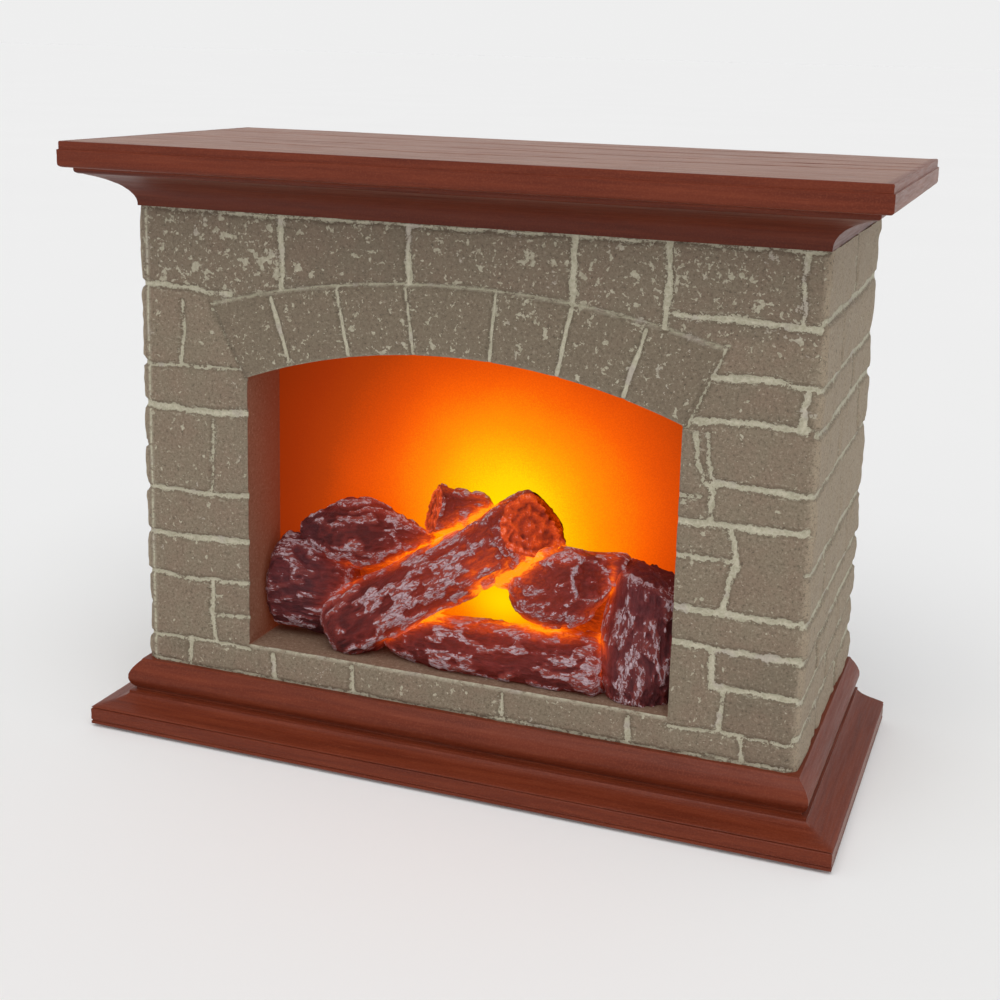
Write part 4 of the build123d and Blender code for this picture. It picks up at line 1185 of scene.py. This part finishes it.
def build_object():
    """Every piece of the object, and the finishes of its CAD nodes.

    A moulding's outline has (out, up) points from the stone face, and four numbers end an arc.
    """
    add_piece(stone_surround(stone_paint()), "surround_shell")
    wood = wood_paint("wood_paint", 0.0)
    rim_in = PLINTH_OUT - WALL
    plinth_outline = [
        (rim_in, RIM_Z + 3.4), (rim_in, RIM_Z), (PLINTH_OUT, RIM_Z), (PLINTH_OUT, RIM_Z + 0.7),
        (PLINTH_OUT - 0.25, RIM_Z + 0.85), (PLINTH_OUT - 0.25, RIM_Z + 1.05), (PLINTH_OUT, RIM_Z + 1.2),
        (PLINTH_OUT, 5.4), (PLINTH_OUT - 0.5, 5.8), (11.6, 6.2, 8.6, 6.9), (5.8, 7.7, 4.1, 8.8),
        (4.1, 9.5), (2.6, 9.7), (2.6, 10.2), (4.3, 14.1, 1.6, 18.2), (1.2, STONE_LOW),
    ]
    bar = SIDE + rim_in
    back_bar = [(-bar, BACK - WALL, RIM_Z), (bar, BACK, RIM_Z + 3.4)]
    plinth = moulding("plinth_moulding", plinth_outline, wood, 50, back_bar)
    add_piece(plinth, "base_plinth")
    cove_outline = [
        (0, STONE_TOP), (0, STONE_TOP + 0.7), (2.9, 156.0, 10.3, 159.4),
        (11.5, 159.7, COVE_OUT, COVE_TOP),
    ]
    # The cove's paint is darkened by painted shade, for the shadow under the shelf.
    cove = moulding("cove", cove_outline, wood_paint("cove_paint", 0.34), 55)
    add_piece(cove, "cove_moulding")
    add_piece(shelf(wood), "mantel_board")
    add_piece(log_fire(log_paint()), "log_bed")
    paint_cad_nodes()


# ---- Stage ----
def add_camera():
    """The camera, turned by yaw, then down, then about its own axis."""
    data = bpy.data.cameras.new("camera")
    data.sensor_width = CAMERA_SENSOR
    data.lens = CAMERA_LENS
    data.shift_x, data.shift_y = CAMERA_SHIFT
    data.clip_start = 0.02
    data.clip_end = 200.0
    level = np.array([math.cos(CAMERA_YAW), math.sin(CAMERA_YAW), 0.0])
    ahead = np.array([-level[1], level[0], -math.tan(CAMERA_DOWN)]) * math.cos(CAMERA_DOWN)
    rise = np.cross(level, ahead)
    right = level * math.cos(CAMERA_ROLL) + rise * math.sin(CAMERA_ROLL)
    top = rise * math.cos(CAMERA_ROLL) - level * math.sin(CAMERA_ROLL)
    matrix = Matrix(np.column_stack([right, top, -ahead]).tolist()).to_4x4()
    matrix.translation = CAMERA_PLACE
    made = place_in_scene("camera", data)
    made.matrix_world = matrix
    bpy.context.scene.camera = made


def add_floor():
    """A large pale floor."""
    finish = Finish("floor_paint", Roughness=1.0, Specular_IOR_Level=0.0, Emission_Color=(1, 1, 1, 1),
                    Emission_Strength=FLOOR_GLOW)
    cloud = finish.noise(finish.place(), 3, 2, 0.5)
    low, high = [(grey, grey, grey, 1) for grey in FLOOR_GREYS]
    material = finish.finish(Base_Color=finish.ramp(cloud, (0.3, low), (0.7, high)))
    corners = [(x * FLOOR_REACH, y * FLOOR_REACH, 0) for x, y in ((-1, -1), (1, -1), (1, 1), (-1, 1))]
    mesh_object("floor", corners, [[0, 1, 2, 3]], {}, material)


def add_light():
    """A bright surround with a darker ceiling, and one broad soft light from above and in front.

    The camera sees a plain background instead of the surround.
    """
    world = bpy.data.worlds.new("studio")
    bpy.context.scene.world = world
    made = Nodes(world)
    made.nodes.clear()
    shown, low, high = [(grey, grey, grey, 1) for grey in (BACKGROUND_GREY, LOW_LIGHT, HIGH_LIGHT)]
    where = made.add("TexCoord", {}).outputs["Generated"]
    height = made.add("SeparateXYZ", {0: where}).outputs["Z"]
    surround = made.add("Background", {"Color": made.ramp(height, (0.15, low), (0.60, high))}).outputs[0]
    background = made.add("Background", {"Color": shown}).outputs[0]
    seen = made.add("LightPath", {}).outputs["Is Camera Ray"]
    mixed = made.add("MixShader", {0: seen, 1: surround, 2: background}).outputs[0]
    made.add("OutputWorld", {"Surface": mixed})
    key = bpy.data.lights.new("soft_key", "SUN")
    key.energy = KEY_POWER
    key.angle = math.radians(KEY_SPREAD)
    lamp = place_in_scene("soft_key", key)
    lamp.rotation_mode = "QUATERNION"
    lamp.rotation_quaternion = Vector(KEY_FROM).to_track_quat("Z", "Y")


build_object()
add_camera()
add_floor()
add_light()
bpy.context.scene.view_settings.view_transform = "Standard"
